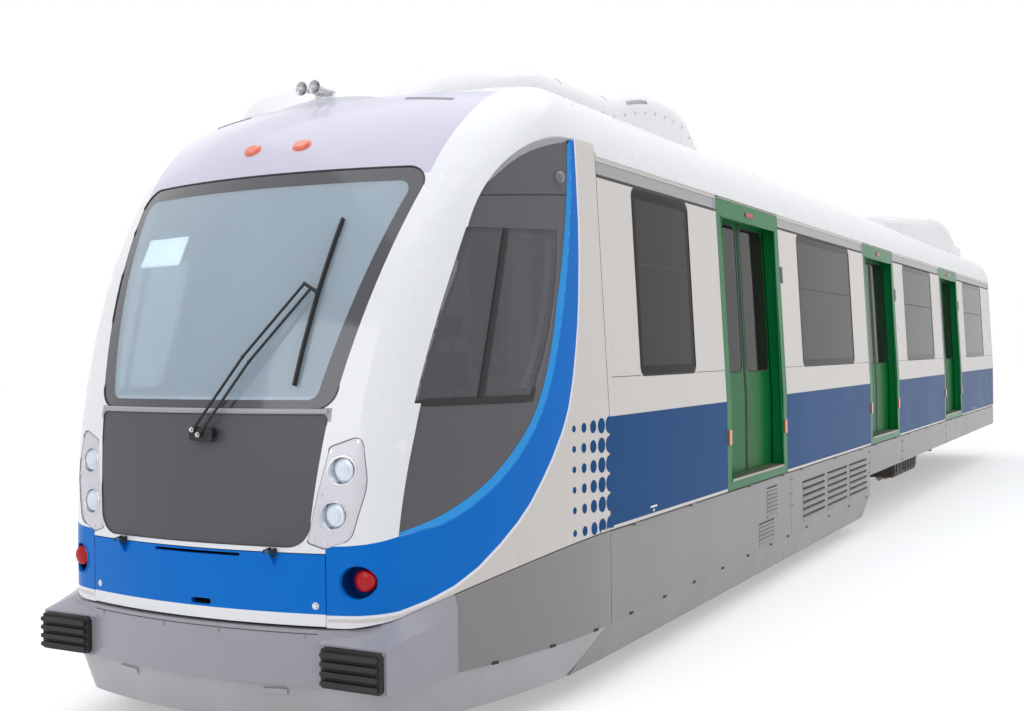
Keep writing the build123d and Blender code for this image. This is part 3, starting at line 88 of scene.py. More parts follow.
def arc(p: Pair, q: Pair, r: Pair, steps: int = 12) -> list[Pair]:
    """Points on the arc through three points.

    Args:
        p: Start.
        q: A point on the way.
        r: End.
        steps: Number of spans.

    Returns:
        The points, both ends among them.
    """
    ax, ay, bx, by = q[0] - p[0], q[1] - p[1], r[0] - p[0], r[1] - p[1]
    d = 2 * (ax * by - ay * bx)
    if abs(d) < 1e-9:
        return [(p[0] + bx * k / steps, p[1] + by * k / steps) for k in range(steps + 1)]
    ux = (by * (ax * ax + ay * ay) - ay * (bx * bx + by * by)) / d
    uy = (ax * (bx * bx + by * by) - bx * (ax * ax + ay * ay)) / d
    cx, cy, radius = p[0] + ux, p[1] + uy, math.hypot(ux, uy)
    start = math.atan2(p[1] - cy, p[0] - cx)
    middle = (math.atan2(q[1] - cy, q[0] - cx) - start) % math.tau
    end = (math.atan2(r[1] - cy, r[0] - cx) - start) % math.tau
    if middle > end:
        end -= math.tau
    return [(cx + radius * math.cos(start + end * k / steps), cy + radius * math.sin(start + end * k / steps))
            for k in range(steps + 1)]


def rounded(corners: Sequence[tuple[float, float, float]], steps: int = 5) -> list[Pair]:
    """Closed outline with rounded corners, from corners given as (a, b, radius)."""
    outline: list[Pair] = []
    for k, (a, b, radius) in enumerate(corners):
        here = Vector((a, b))
        back = (Vector(corners[k - 1][:2]) - here)
        ahead = (Vector(corners[(k + 1) % len(corners)][:2]) - here)
        half = back.angle(ahead) / 2
        back.normalize()
        ahead.normalize()
        reach = radius / math.tan(half)
        middle = here + (back + ahead).normalized() * radius / math.sin(half)
        first = here + back * reach - middle
        last = here + ahead * reach - middle
        turn = first.angle_signed(last)
        for step in range(steps + 1):
            angle = -turn * step / steps
            x = first.x * math.cos(angle) - first.y * math.sin(angle)
            y = first.x * math.sin(angle) + first.y * math.cos(angle)
            outline.append((middle.x + x, middle.y + y))
    return outline


def frame_box(low: Pair, high: Pair, radius: float) -> list[Pair]:
    """Rounded rectangle between two corners."""
    return rounded([(low[0], low[1], radius), (high[0], low[1], radius), (high[0], high[1], radius),
                    (low[0], high[1], radius)])


def even(chain: Sequence[Pair], count: int) -> list[Pair]:
    """The same chain as evenly spaced points."""
    runs = [0.0]
    for a, b in zip(chain, chain[1:]):
        runs.append(runs[-1] + math.dist(a, b))
    spots = []
    k = 0
    for step in range(count):
        goal = runs[-1] * step / (count - 1)
        while k < len(runs) - 2 and runs[k + 1] < goal:
            k += 1
        t = (goal - runs[k]) / max(1e-9, runs[k + 1] - runs[k])
        spots.append((chain[k][0] + (chain[k + 1][0] - chain[k][0]) * t,
                      chain[k][1] + (chain[k + 1][1] - chain[k][1]) * t))
    return spots


def inside(point: Pair, outline: Sequence[Pair]) -> bool:
    """Whether a point lies in a closed outline."""
    x, y = point
    hit = False
    for (ax, ay), (bx, by) in zip(outline, [*outline[1:], outline[0]]):
        if (ay > y) != (by > y) and x < (bx - ax) * (y - ay) / (by - ay) + ax:
            hit = not hit
    return hit
def turns(count: int) -> list[float]:
    """Evenly spaced angles of a full turn."""
    return [math.tau * k / count for k in range(count)]


def oval(a: float, b: float, wide: float, high: float, count: int) -> list[Pair]:
    """Points of an ellipse about a middle, from its two half sizes."""
    return [(a + wide * math.cos(turn), b + high * math.sin(turn)) for turn in turns(count)]


def feed(node: bpy.types.Node, inputs: Inputs) -> None:
    """Fills inputs of a node, by name or number, with plain values or from the sockets that lead to them."""
    for label, value in inputs.items():
        if isinstance(value, bpy.types.NodeSocket):
            node.id_data.links.new(value, node.inputs[label])
        else:
            node.inputs[label].default_value = value


def add_node(tree: bpy.types.NodeTree, kind: str, inputs: Optional[Inputs] = None,
             **options: object) -> bpy.types.Node:
    """Adds a node to a tree.

    Args:
        tree: The tree.
        kind: Type name of the node.
        inputs: What its inputs hold, as for feed.
        options: Its settings, which are set first.

    Returns:
        The node.
    """
    node = tree.nodes.new(kind)
    for label, value in options.items():
        setattr(node, label, value)
    feed(node, inputs or {})
    return node
# Finishes
class Surface(Enum):
    """Kinds of surface, each with its own grain."""

    PAINT = "paint"
    METAL = "metal"
    CAST = "cast"
    RUBBER = "rubber"
    PLASTIC = "plastic"
    FABRIC = "fabric"
    GLASS = "glass"
    GLOW = "glow"


@dataclass(frozen=True)
class Finish:
    """One finish: colour as seen, gloss, and how much dust and wear it carries."""

    name: str
    colour: Colour
    surface: Surface = Surface.PAINT
    rough: float = 0.32
    metallic: float = 0.0
    coat: float = 0.0
    dust: float = 0.12
    clear: float = 0.0
    grain: float = 260.0
    bump: float = 0.03
    glow: float = 0.0
    shine: float = 0.5
    slot: str = "grey_paint"


WHITE = Finish("white_gloss", (0.965, 0.965, 0.975), rough=0.25, coat=0.4, dust=0.03, slot="white_paint")
# Same white paint as the nose, darkened as painted shade for the body sides and rear end that stand in shadow.
SHADED_SIDE_WHITE = Finish("side_white_in_shade", (0.875, 0.845, 0.82), rough=0.27, coat=0.2, dust=0.06, slot="white_paint")
LILAC = Finish("forehead_lilac", (0.82, 0.81, 0.88), rough=0.3, coat=0.4, dust=0.05, slot="white_paint")
NOSE_BLUE = Finish("nose_blue", (0.0, 0.46, 0.83), rough=0.3, dust=0.02, shine=0.12, slot="blue_paint")
# Nose blue lightened as a painted highlight where the rear bevel catches light.
LIT_BEVEL_BLUE = Finish("bevel_blue_highlight", (0.20, 0.62, 0.92), rough=0.3, dust=0.02, shine=0.2, slot="blue_paint")
# Same livery blue as the nose, darkened as painted shade for the side band under the canopy; the dots ahead of the band
# share it.
SHADED_BAND_BLUE = Finish("band_blue_in_shade", (0.0, 0.30, 0.53), rough=0.3, dust=0.03, shine=0.04, slot="blue_paint")
# Nose blue darkened as painted shade inside the tail lamp recess.
CUP_SHADE_BLUE = Finish("lamp_cup_blue_in_shade", (0.02, 0.26, 0.56), rough=0.4, dust=0.05, shine=0.1, slot="blue_paint")
GREEN = Finish("portal_green", (0.0, 0.47, 0.24), rough=0.27, coat=0.1, dust=0.05, shine=0.12, slot="green_paint")
LEAF_GREEN = Finish("leaf_green", (0.0, 0.42, 0.18), rough=0.3, dust=0.06, shine=0.1, slot="green_paint")
GREY = Finish("bumper_grey", (0.64, 0.635, 0.67), rough=0.34, coat=0.3, dust=0.18)
# The bumper's grey darkened as painted shade for the skirts, valance ends and their fittings along the shaded side.
SHADED_SKIRT_GREY = Finish("skirt_grey_in_shade", (0.54, 0.525, 0.53), rough=0.36, coat=0.25, dust=0.24)
PALE = Finish("apron_pale", (0.74, 0.735, 0.745), rough=0.38, coat=0.2, dust=0.25, slot="pale_paint")
BAND_GREY = Finish("sunk_band_grey", (0.66, 0.655, 0.66), rough=0.35, coat=0.3, dust=0.2)
# Light grey: on the front bevel it is white paint greyed as painted shade; it also colours the bar under the
# windscreen.
GREY_TRIM_AND_BEVEL_SHADE = Finish("grey_trim_and_bevel_shade", (0.66, 0.655, 0.68), rough=0.32, coat=0.3, dust=0.05)
PANEL = Finish("dark_panel", (0.315, 0.305, 0.33), Surface.PLASTIC, 0.48, dust=0.08, slot="dark_panel")
SIDE_PANEL = Finish("cab_side_panel", (0.335, 0.33, 0.35), Surface.PLASTIC, 0.45, dust=0.08, slot="dark_panel")
FRIT = Finish("glass_frit", (0.27, 0.27, 0.30), Surface.GLASS, 0.10, coat=0.5, dust=0.03, slot="clear_glass")
# Pale, partly diffuse glass: its whitish colour is a painted reflection of the bright sky and of the light seen through
# the cab.
SCREEN_PAINTED_SKY = Finish("windscreen_glass_painted_sky", (0.86, 0.93, 0.98), Surface.GLASS, 0.04, dust=0.02, clear=0.62, slot="clear_glass")
TINT = Finish("tinted_glass", (0.17, 0.145, 0.14), Surface.GLASS, 0.03, dust=0.01, clear=0.3, shine=0.05,
              slot="tinted_glass")
CAB_TINT = Finish("cab_side_glass", (0.60, 0.59, 0.63), Surface.GLASS, 0.03, dust=0.01, clear=0.86, shine=0.12,
                  slot="tinted_glass")
LENS = Finish("lamp_lens", (0.93, 0.95, 0.97), Surface.GLASS, 0.05, dust=0.0, clear=0.9, slot="clear_glass")
REFLECTOR = Finish("lamp_reflector", (0.90, 0.91, 0.94), Surface.METAL, 0.12, 1.0, dust=0.0, grain=90, bump=0.35,
                   slot="lamp_silver")
BEZEL = Finish("bezel_silver", (0.85, 0.84, 0.87), Surface.PAINT, 0.33, 0.25, dust=0.04, slot="lamp_silver")
CHROME = Finish("bright_metal", (0.80, 0.80, 0.81), Surface.METAL, 0.2, 1.0, dust=0.05, slot="pole_steel")
SILVER = Finish("step_aluminium", (0.70, 0.68, 0.65), Surface.METAL, 0.38, 0.9, dust=0.15, slot="pole_steel")
RED = Finish("red_lens", (0.74, 0.01, 0.07), Surface.PLASTIC, 0.2, coat=0.2, dust=0.0, shine=0.2, slot="lamp_red")
ORANGE = Finish("orange_lens", (0.96, 0.47, 0.34), Surface.PLASTIC, 0.15, coat=1.0, dust=0.02, slot="lamp_red")
AMBER = Finish("amber_lens", (0.90, 0.38, 0.08), Surface.PLASTIC, 0.18, coat=0.8, dust=0.05, slot="lamp_red")
BLACK = Finish("black_rubber", (0.10, 0.10, 0.11), Surface.RUBBER, 0.62, dust=0.12, slot="black_rubber")
# Dark sealant; it also paints the shadow line at the foot of the grey band above the windows.
SEALANT_AND_SHADOW = Finish("sealant_and_painted_shadow", (0.24, 0.235, 0.24), Surface.RUBBER, 0.6, dust=0.10, slot="black_rubber")
BELLOWS = Finish("bellows_rubber", (0.19, 0.19, 0.20), Surface.FABRIC, 0.75, dust=0.2, slot="bellows_rubber")
CHASSIS = Finish("chassis_black", (0.17, 0.165, 0.165), Surface.CAST, 0.6, dust=0.5, slot="chassis_black")
CAST = Finish("cast_grey", (0.33, 0.325, 0.32), Surface.CAST, 0.55, 0.4, dust=0.45, slot="cast_grey")
STEEL = Finish("wheel_steel", (0.52, 0.50, 0.48), Surface.METAL, 0.42, 0.85, dust=0.35, slot="wheel_steel")
POLE = Finish("brushed_steel", (0.75, 0.75, 0.76), Surface.METAL, 0.3, 1.0, dust=0.03, slot="pole_steel")
SEAT = Finish("seat_blue", (0.16, 0.34, 0.58), Surface.PLASTIC, 0.35, dust=0.06, slot="seat_plastic")
CAB_GREY = Finish("cab_plastic", (0.43, 0.44, 0.46), Surface.PLASTIC, 0.55, dust=0.08, slot="cab_plastic")
LAMINATE = Finish("lining_laminate", (0.86, 0.85, 0.82), Surface.PLASTIC, 0.4, dust=0.05, slot="lining_laminate")
FABRIC = Finish("seat_fabric", (0.18, 0.19, 0.22), Surface.FABRIC, 0.85, dust=0.05, slot="seat_fabric")
FLOORING = Finish("floor_covering", (0.42, 0.43, 0.44), Surface.CAST, 0.6, dust=0.2, slot="cab_plastic")
SCREEN_DARK = Finish("instrument_glass", (0.05, 0.06, 0.08), Surface.GLASS, 0.08, coat=1.0, dust=0.0,
                     slot="cab_plastic")
LIGHT_STRIP = Finish("light_strip", (0.95, 0.95, 0.92), Surface.GLOW, 0.4, glow=0.8, slot="lining_laminate")
# The card inside the cab glows as painted light, though it is no lamp, so it shows through the windscreen.
GLOWING_CARD = Finish("self_lit_blank_card", (0.97, 0.96, 0.94), Surface.GLOW, 0.7, dust=0.0, glow=1.1, slot="lining_laminate")
DOME = Finish("camera_dome", (0.42, 0.41, 0.43), Surface.PLASTIC, 0.15, coat=1.0, dust=0.02, slot="dark_panel")
BORDER = Finish("window_border", (0.12, 0.105, 0.105), Surface.GLASS, 0.05, dust=0.01, shine=0.05,
                slot="tinted_glass")


def linear(colour: Colour) -> tuple[float, float, float, float]:
    """A colour as seen, turned into scene values."""
    return tuple(c / 12.92 if c < 0.04045 else ((c + 0.055) / 1.055) ** 2.4 for c in colour) + (1.0,)


SOIL: Colour = (0.46, 0.42, 0.38)
GRAIN_SCALE = {Surface.PAINT: 55.0, Surface.RUBBER: 700.0, Surface.CAST: 160.0, Surface.FABRIC: 420.0}
RELIEF = {Surface.PAINT: 0.012, Surface.METAL: 0.04, Surface.CAST: 0.35, Surface.RUBBER: 0.25,
          Surface.PLASTIC: 0.12, Surface.FABRIC: 0.6, Surface.GLOW: 0.02}


class PaintShop:
    """Makes the materials, with shared node groups for dust, grain and weave."""

    def __init__(self) -> None:
        """Builds the shared groups."""
        self.made: dict[str, bpy.types.Material] = {}
        self.dust = self._dust_group()
        self.grain = self._grain_group()
        self.weave = self._weave_group()

    @staticmethod
    def _group(name: str, inputs: Sequence[tuple[str, str]], outputs: Sequence[str]) \
            -> tuple[bpy.types.NodeTree, bpy.types.Node, bpy.types.Node]:
        """Empty node group with its sockets, and its input and output nodes."""
        tree = bpy.data.node_groups.new(name, "ShaderNodeTree")
        for label, kind in inputs:
            tree.interface.new_socket(label, in_out="INPUT", socket_type=f"NodeSocket{kind}")
        for label in outputs:
            tree.interface.new_socket(label, in_out="OUTPUT", socket_type="NodeSocketFloat")
        return tree, tree.nodes.new("NodeGroupInput"), tree.nodes.new("NodeGroupOutput")

    def _dust_group(self) -> bpy.types.NodeTree:
        """Dust that gathers low down and in soft patches."""
        tree, start, end = self._group("road_dust", [("Vector", "Vector"), ("Amount", "Float")], ["Mask", "Mottle"])
        place = start.outputs["Vector"]
        split = add_node(tree, "ShaderNodeSeparateXYZ", {0: place})
        height = add_node(tree, "ShaderNodeMapRange", {"Value": split.outputs["Z"], "From Min": 2.2,
                                                       "From Max": 0.2, "To Min": 0.25})
        stretch = add_node(tree, "ShaderNodeMapping", {"Vector": place, "Scale": (1.0, 1.0, 0.35)})
        patches = add_node(tree, "ShaderNodeTexNoise", {"Vector": stretch.outputs[0], "Scale": 3.2, "Detail": 6.0})
        soft = add_node(tree, "ShaderNodeMapRange", {"Value": patches.outputs["Fac"], "From Min": 0.35,
                                                     "From Max": 0.75})
        product = add_node(tree, "ShaderNodeMath", {0: height.outputs[0], 1: soft.outputs[0]}, operation="MULTIPLY")
        scaled = add_node(tree, "ShaderNodeMath", {0: product.outputs[0], 1: start.outputs["Amount"]},
                          operation="MULTIPLY", use_clamp=True)
        feed(end, {"Mask": scaled.outputs[0], "Mottle": patches.outputs["Fac"]})
        return tree

    def _grain_group(self) -> bpy.types.NodeTree:
        """Fine grain, drawn out along one axis for brushed metal."""
        tree, start, end = self._group("fine_grain", [("Vector", "Vector"), ("Scale", "Float"),
                                                      ("Stretch", "Vector")], ["Height"])
        mapping = add_node(tree, "ShaderNodeMapping", {"Vector": start.outputs["Vector"],
                                                       "Scale": start.outputs["Stretch"]})
        noise = add_node(tree, "ShaderNodeTexNoise", {"Vector": mapping.outputs[0], "Detail": 3.0,
                                                      "Scale": start.outputs["Scale"]})
        feed(end, {"Height": noise.outputs["Fac"]})
        return tree

    def _weave_group(self) -> bpy.types.NodeTree:
        """Plain weave of two crossed sets of threads."""
        tree, start, end = self._group("plain_weave", [("Vector", "Vector"), ("Scale", "Float")], ["Height"])
        warp, weft = (add_node(tree, "ShaderNodeTexWave", {"Distortion": 0.4, "Vector": start.outputs["Vector"],
                                                           "Scale": start.outputs["Scale"]}, bands_direction=axis)
                      for axis in ("X", "Z"))
        both = add_node(tree, "ShaderNodeMath", {0: warp.outputs["Fac"], 1: weft.outputs["Fac"]},
                        operation="MULTIPLY")
        feed(end, {"Height": both.outputs[0]})
        return tree

    def material(self, finish: Finish) -> bpy.types.Material:
        """The material of a finish, made once.

        Args:
            finish: The finish.

        Returns:
            Its material.
        """
        if finish.name in self.made:
            return self.made[finish.name]
        material = self.made[finish.name] = bpy.data.materials.new(finish.name)
        material.use_nodes = True
        tree = material.node_tree
        shader = tree.nodes["Principled BSDF"]
        place = add_node(tree, "ShaderNodeTexCoord").outputs["Object"]
        dust = add_node(tree, "ShaderNodeGroup", {"Amount": finish.dust, "Vector": place}, node_tree=self.dust)
        mottle = dust.outputs["Mottle"]
        base = linear(finish.colour)
        shade = add_node(tree, "ShaderNodeMix", {"A": (*(c * 0.95 for c in base[:3]), 1.0),
                                                 "B": (*(min(1.0, c * 1.04) for c in base[:3]), 1.0),
                                                 "Factor": mottle}, data_type="RGBA")
        soil = add_node(tree, "ShaderNodeMix", {"A": shade.outputs["Result"], "B": linear(SOIL),
                                                "Factor": dust.outputs["Mask"]}, data_type="RGBA")
        rough = add_node(tree, "ShaderNodeMapRange", {"Value": mottle, "To Min": max(0.02, finish.rough - 0.04),
                                                      "To Max": min(1.0, finish.rough + 0.08)})
        feed(shader, {"Base Color": soil.outputs["Result"], "Roughness": rough.outputs[0],
                      "Metallic": finish.metallic, "Coat Weight": finish.coat, "Coat Roughness": 0.06,
                      "Specular IOR Level": finish.shine})
        if finish.clear:
            feed(shader, {"Transmission Weight": finish.clear, "IOR": 1.45})
        if finish.glow:
            feed(shader, {"Emission Color": base, "Emission Strength": finish.glow})
        if finish.surface is not Surface.GLASS:
            self._relief(shader, place, finish)
        return material

    def _relief(self, shader: bpy.types.Node, place: bpy.types.NodeSocket, finish: Finish) -> None:
        """Gives a shader the grain or weave of its surface."""
        tree, woven = shader.id_data, finish.surface is Surface.FABRIC
        grain = add_node(tree, "ShaderNodeGroup", {"Scale": GRAIN_SCALE.get(finish.surface, finish.grain),
                                                   "Vector": place}, node_tree=self.weave if woven else self.grain)
        if woven:
            feed(shader, {"Sheen Weight": 0.3})
        else:
            feed(grain, {"Stretch": (1, 1, 12) if finish.surface is Surface.METAL else (1, 1, 1)})
        bump = add_node(tree, "ShaderNodeBump", {
            "Strength": max(RELIEF[finish.surface], finish.bump if finish.bump > 0.1 else 0),
            "Distance": 0.004 if finish.surface is Surface.PAINT else 0.001, "Height": grain.outputs["Height"]})
        feed(shader, {"Normal": bump.outputs[0]})


PAINTS = PaintShop()


# Mesh work
def place_piece(name: str, mesh: bpy.types.Mesh, finishes: Sequence[Finish], body: str = "car_body",
                stands_for: Sequence[str] = ()) -> bpy.types.Object:
    """Makes the object of a finished mesh, gives it its finishes and lets it ride on a body.

    Args:
        name: Name of the piece.
        mesh: Its mesh, in the car's frame.
        finishes: One finish for each material index.
        body: The body it rides on.
        stands_for: CAD nodes that it replaces.

    Returns:
        The object.
    """
    obj = bpy.data.objects.new(name, mesh)
    bpy.context.scene.collection.objects.link(obj)
    kept = [p.material_index for p in mesh.polygons]
    mesh.materials.clear()
    for finish in finishes:
        mesh.materials.append(PAINTS.material(finish))
    mesh.polygons.foreach_set("material_index", kept)
    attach(obj, body)
    if stands_for:
        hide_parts(*stands_for)
    LOG.info("%s: %d faces on %s", name, len(mesh.polygons), body)
    return obj


class Shape:
    """Mesh under construction, in the car's own frame."""

    def __init__(self) -> None:
        """Starts empty."""
        self.points: list[Vector] = []
        self.faces: list[tuple[int, ...]] = []

    def rings(self, rings: Sequence[Sequence[Vector]], caps: bool = True, loop: bool = False) -> "Shape":
        """Joins rings of equally many points into a tube, with its ends closed or joined in a loop."""
        start, count = len(self.points), len(rings[0])
        for ring in rings:
            self.points.extend(ring)
        spans = len(rings) if loop else len(rings) - 1
        for k in range(spans):
            a, b = start + k * count, start + (k + 1) % len(rings) * count
            for j in range(count):
                n = (j + 1) % count
                self.faces.append((a + j, a + n, b + n, b + j))
        if caps and not loop:
            self.faces.append(tuple(range(start + count - 1, start - 1, -1)))
            self.faces.append(tuple(range(start + (len(rings) - 1) * count, start + len(rings) * count)))
        return self

    def sweep(self, path: Sequence[Vector], normals: Sequence[Vector], profile: Sequence[Pair],
              loop: bool = False) -> "Shape":
        """Sweeps a profile, given as (across, out) pairs, along a path with its outward normals."""
        rings = []
        last = len(path) - 1
        for k, point in enumerate(path):
            before = path[k - 1] if (loop or k) else path[0]
            after = path[(k + 1) % len(path)] if (loop or k < last) else path[last]
            along = (after - before).normalized()
            normal = (normals[k] - along * normals[k].dot(along)).normalized()
            across = normal.cross(along)
            rings.append([point + across * a + normal * b for a, b in profile])
        return self.rings(rings, loop=loop)

    def tube(self, path: Sequence[Vector], radius: float, sides: int = 10, loop: bool = False) -> "Shape":
        """Round tube along a path."""
        normals = []
        normal = Vector((0.0, 0.0, 1.0))
        for k, point in enumerate(path):
            along = (path[min(k + 1, len(path) - 1)] - path[max(k - 1, 0)]).normalized()
            normal = normal - along * normal.dot(along)
            if normal.length < 0.05:
                normal = along.orthogonal()
            normal.normalize()
            normals.append(normal.copy())
        circle = [(radius * math.cos(math.tau * j / sides), radius * math.sin(math.tau * j / sides))
                  for j in range(sides)]
        return self.sweep(path, normals, circle, loop)

    def block(self, low: Vector, high: Vector) -> "Shape":
        """Upright block between two corners."""
        ring = [(low.x, low.y), (high.x, low.y), (high.x, high.y), (low.x, high.y)]
        return self.rings([[Vector((x, y, z)) for x, y in ring] for z in (low.z, high.z)])

    def lathe(self, origin: Vector, axis: Vector, profile: Sequence[Pair], steps: int = 32) -> "Shape":
        """Turns a profile of (along, radius) pairs about an axis."""
        axis = axis.normalized()
        side = axis.orthogonal().normalized()
        other = axis.cross(side)
        rings = []
        for along, radius in profile:
            centre = origin + axis * along
            rings.append([centre + (side * math.cos(math.tau * j / steps) + other * math.sin(math.tau * j / steps))
                          * max(radius, 1e-5) for j in range(steps)])
        return self.rings(rings)

    def plate(self, outline: Sequence[Vector], normal: Vector, thick: float) -> "Shape":
        """Flat or gently curved plate of some thickness with a given outline."""
        back = [p - normal * thick for p in outline]
        return self.rings([back, list(outline)])

    def side_plate(self, side: int, low: Pair, high: Pair, radius: float, lift: float, thick: float) -> "Shape":
        """Rounded plate on the body side, its face lifted off the skin."""
        return self.plate([CAR.wall(s, h, side, -lift) for s, h in frame_box(low, high, radius)], CAR.out(side), thick)

    def strip(self, left: Sequence[Vector], right: Sequence[Vector]) -> "Shape":
        """Open strip between two lines of equally many points."""
        start, count = len(self.points), len(left)
        self.points.extend(left)
        self.points.extend(right)
        for k in range(count - 1):
            self.faces.append((start + k, start + k + 1, start + count + k + 1, start + count + k))
        return self

    def fan(self, middle: Vector, rings: Sequence[Sequence[Vector]]) -> "Shape":
        """Disc of rings round a middle point."""
        start, count = len(self.points), len(rings[0])
        self.points.append(middle)
        for ring in rings:
            self.points.extend(ring)
        for j in range(count):
            n = (j + 1) % count
            self.faces.append((start, start + 1 + j, start + 1 + n))
            for k in range(len(rings) - 1):
                a, b = start + 1 + k * count, start + 1 + (k + 1) * count
                self.faces.append((a + j, b + j, b + n, a + n))
        return self

    def build(self, name: str, finish: Finish, body: str = "car_body", bevel: float = 0.0, levels: int = 0,
              angle: float = 32.0, facing: Optional[Vector] = None,
              stands_for: Sequence[str] = ()) -> bpy.types.Object:
        """Closes the mesh and makes the piece.

        Args:
            name: Name of the piece.
            finish: Its finish.
            body: The body it rides on.
            bevel: Width of a rounding of its edges.
            levels: Levels of subdivision.
            angle: Edges sharper than this stay sharp.
            facing: Direction that an open strip faces.
            stands_for: CAD nodes that it replaces.

        Returns:
            The object.
        """
        mesh = bpy.data.meshes.new(name)
        mesh.from_pydata(self.points, [], self.faces)
        work = bmesh.new()
        work.from_mesh(mesh)
        bmesh.ops.remove_doubles(work, verts=work.verts, dist=1e-5)
        bmesh.ops.dissolve_degenerate(work, edges=work.edges, dist=1e-6)
        bmesh.ops.recalc_face_normals(work, faces=work.faces)
        if facing is not None:
            wrong = [f for f in work.faces if f.normal.dot(facing) < 0]
            bmesh.ops.reverse_faces(work, faces=wrong)
        work.to_mesh(mesh)
        work.free()
        mesh.polygons.foreach_set("use_smooth", [True] * len(mesh.polygons))
        mesh.set_sharp_from_angle(angle=math.radians(angle))
        obj = place_piece(name, mesh, [finish], body, stands_for)
        if bevel:
            rounding = obj.modifiers.new("rounding", "BEVEL")
            rounding.width = bevel
            rounding.segments = 2
            rounding.limit_method = "ANGLE"
            rounding.angle_limit = math.radians(40)
        if levels:
            finer = obj.modifiers.new("finer", "SUBSURF")
            finer.levels = finer.render_levels = levels
        return obj


class SkinProbe:
    """Finds points on the outer skin of some CAD nodes."""

    def __init__(self, *nodes: str) -> None:
        """Gathers the nodes' faces."""
        points: list[Vector] = []
        faces: list[tuple[int, ...]] = []
        for node in nodes:
            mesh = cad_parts[node].data
            start = len(points)
            points.extend(v.co.copy() for v in mesh.vertices)
            faces.extend(tuple(start + k for k in p.vertices) for p in mesh.polygons)
        self.tree = BVHTree.FromPolygons(points, faces)

    def cast(self, origin: Vector, direction: Vector, lift: float) -> tuple[Vector, Vector]:
        """First point hit from an origin, raised off the skin, and the outward normal there."""
        spot, normal, _, _ = self.tree.ray_cast(origin, direction)
        if spot is None:
            return origin + direction * 2.0, -direction
        if normal.dot(direction) > 0:
            normal = -normal
        return spot + normal * lift, normal

    def side(self, s: float, h: float, side: int, lift: float = 0.0) -> tuple[Vector, Vector]:
        """Point on the body side."""
        return self.cast(CAR.at(s, side * 2.5, h), Vector((0, -side, 0)), lift)

    def front(self, y: float, h: float, lift: float = 0.0) -> tuple[Vector, Vector]:
        """Point on the front."""
        return self.cast(CAR.at(-1.0, y, h), Vector((-1, 0, 0)), lift)

    def top(self, s: float, y: float, lift: float = 0.0) -> tuple[Vector, Vector]:
        """Point on the roof."""
        return self.cast(CAR.at(s, y, 5.0), Vector((0, 0, -1)), lift)

    def side_line(self, line: Sequence[Pair], side: int, lift: float = 0.0) -> tuple[list[Vector], list[Vector]]:
        """Points and normals along a line on the body side."""
        spots = [self.side(s, h, side, lift) for s, h in line]
        return [p for p, _ in spots], [n for _, n in spots]

    def front_line(self, line: Sequence[Pair], lift: float = 0.0) -> tuple[list[Vector], list[Vector]]:
        """Points and normals along a line on the front."""
        spots = [self.front(y, h, lift) for y, h in line]
        return [p for p, _ in spots], [n for _, n in spots]


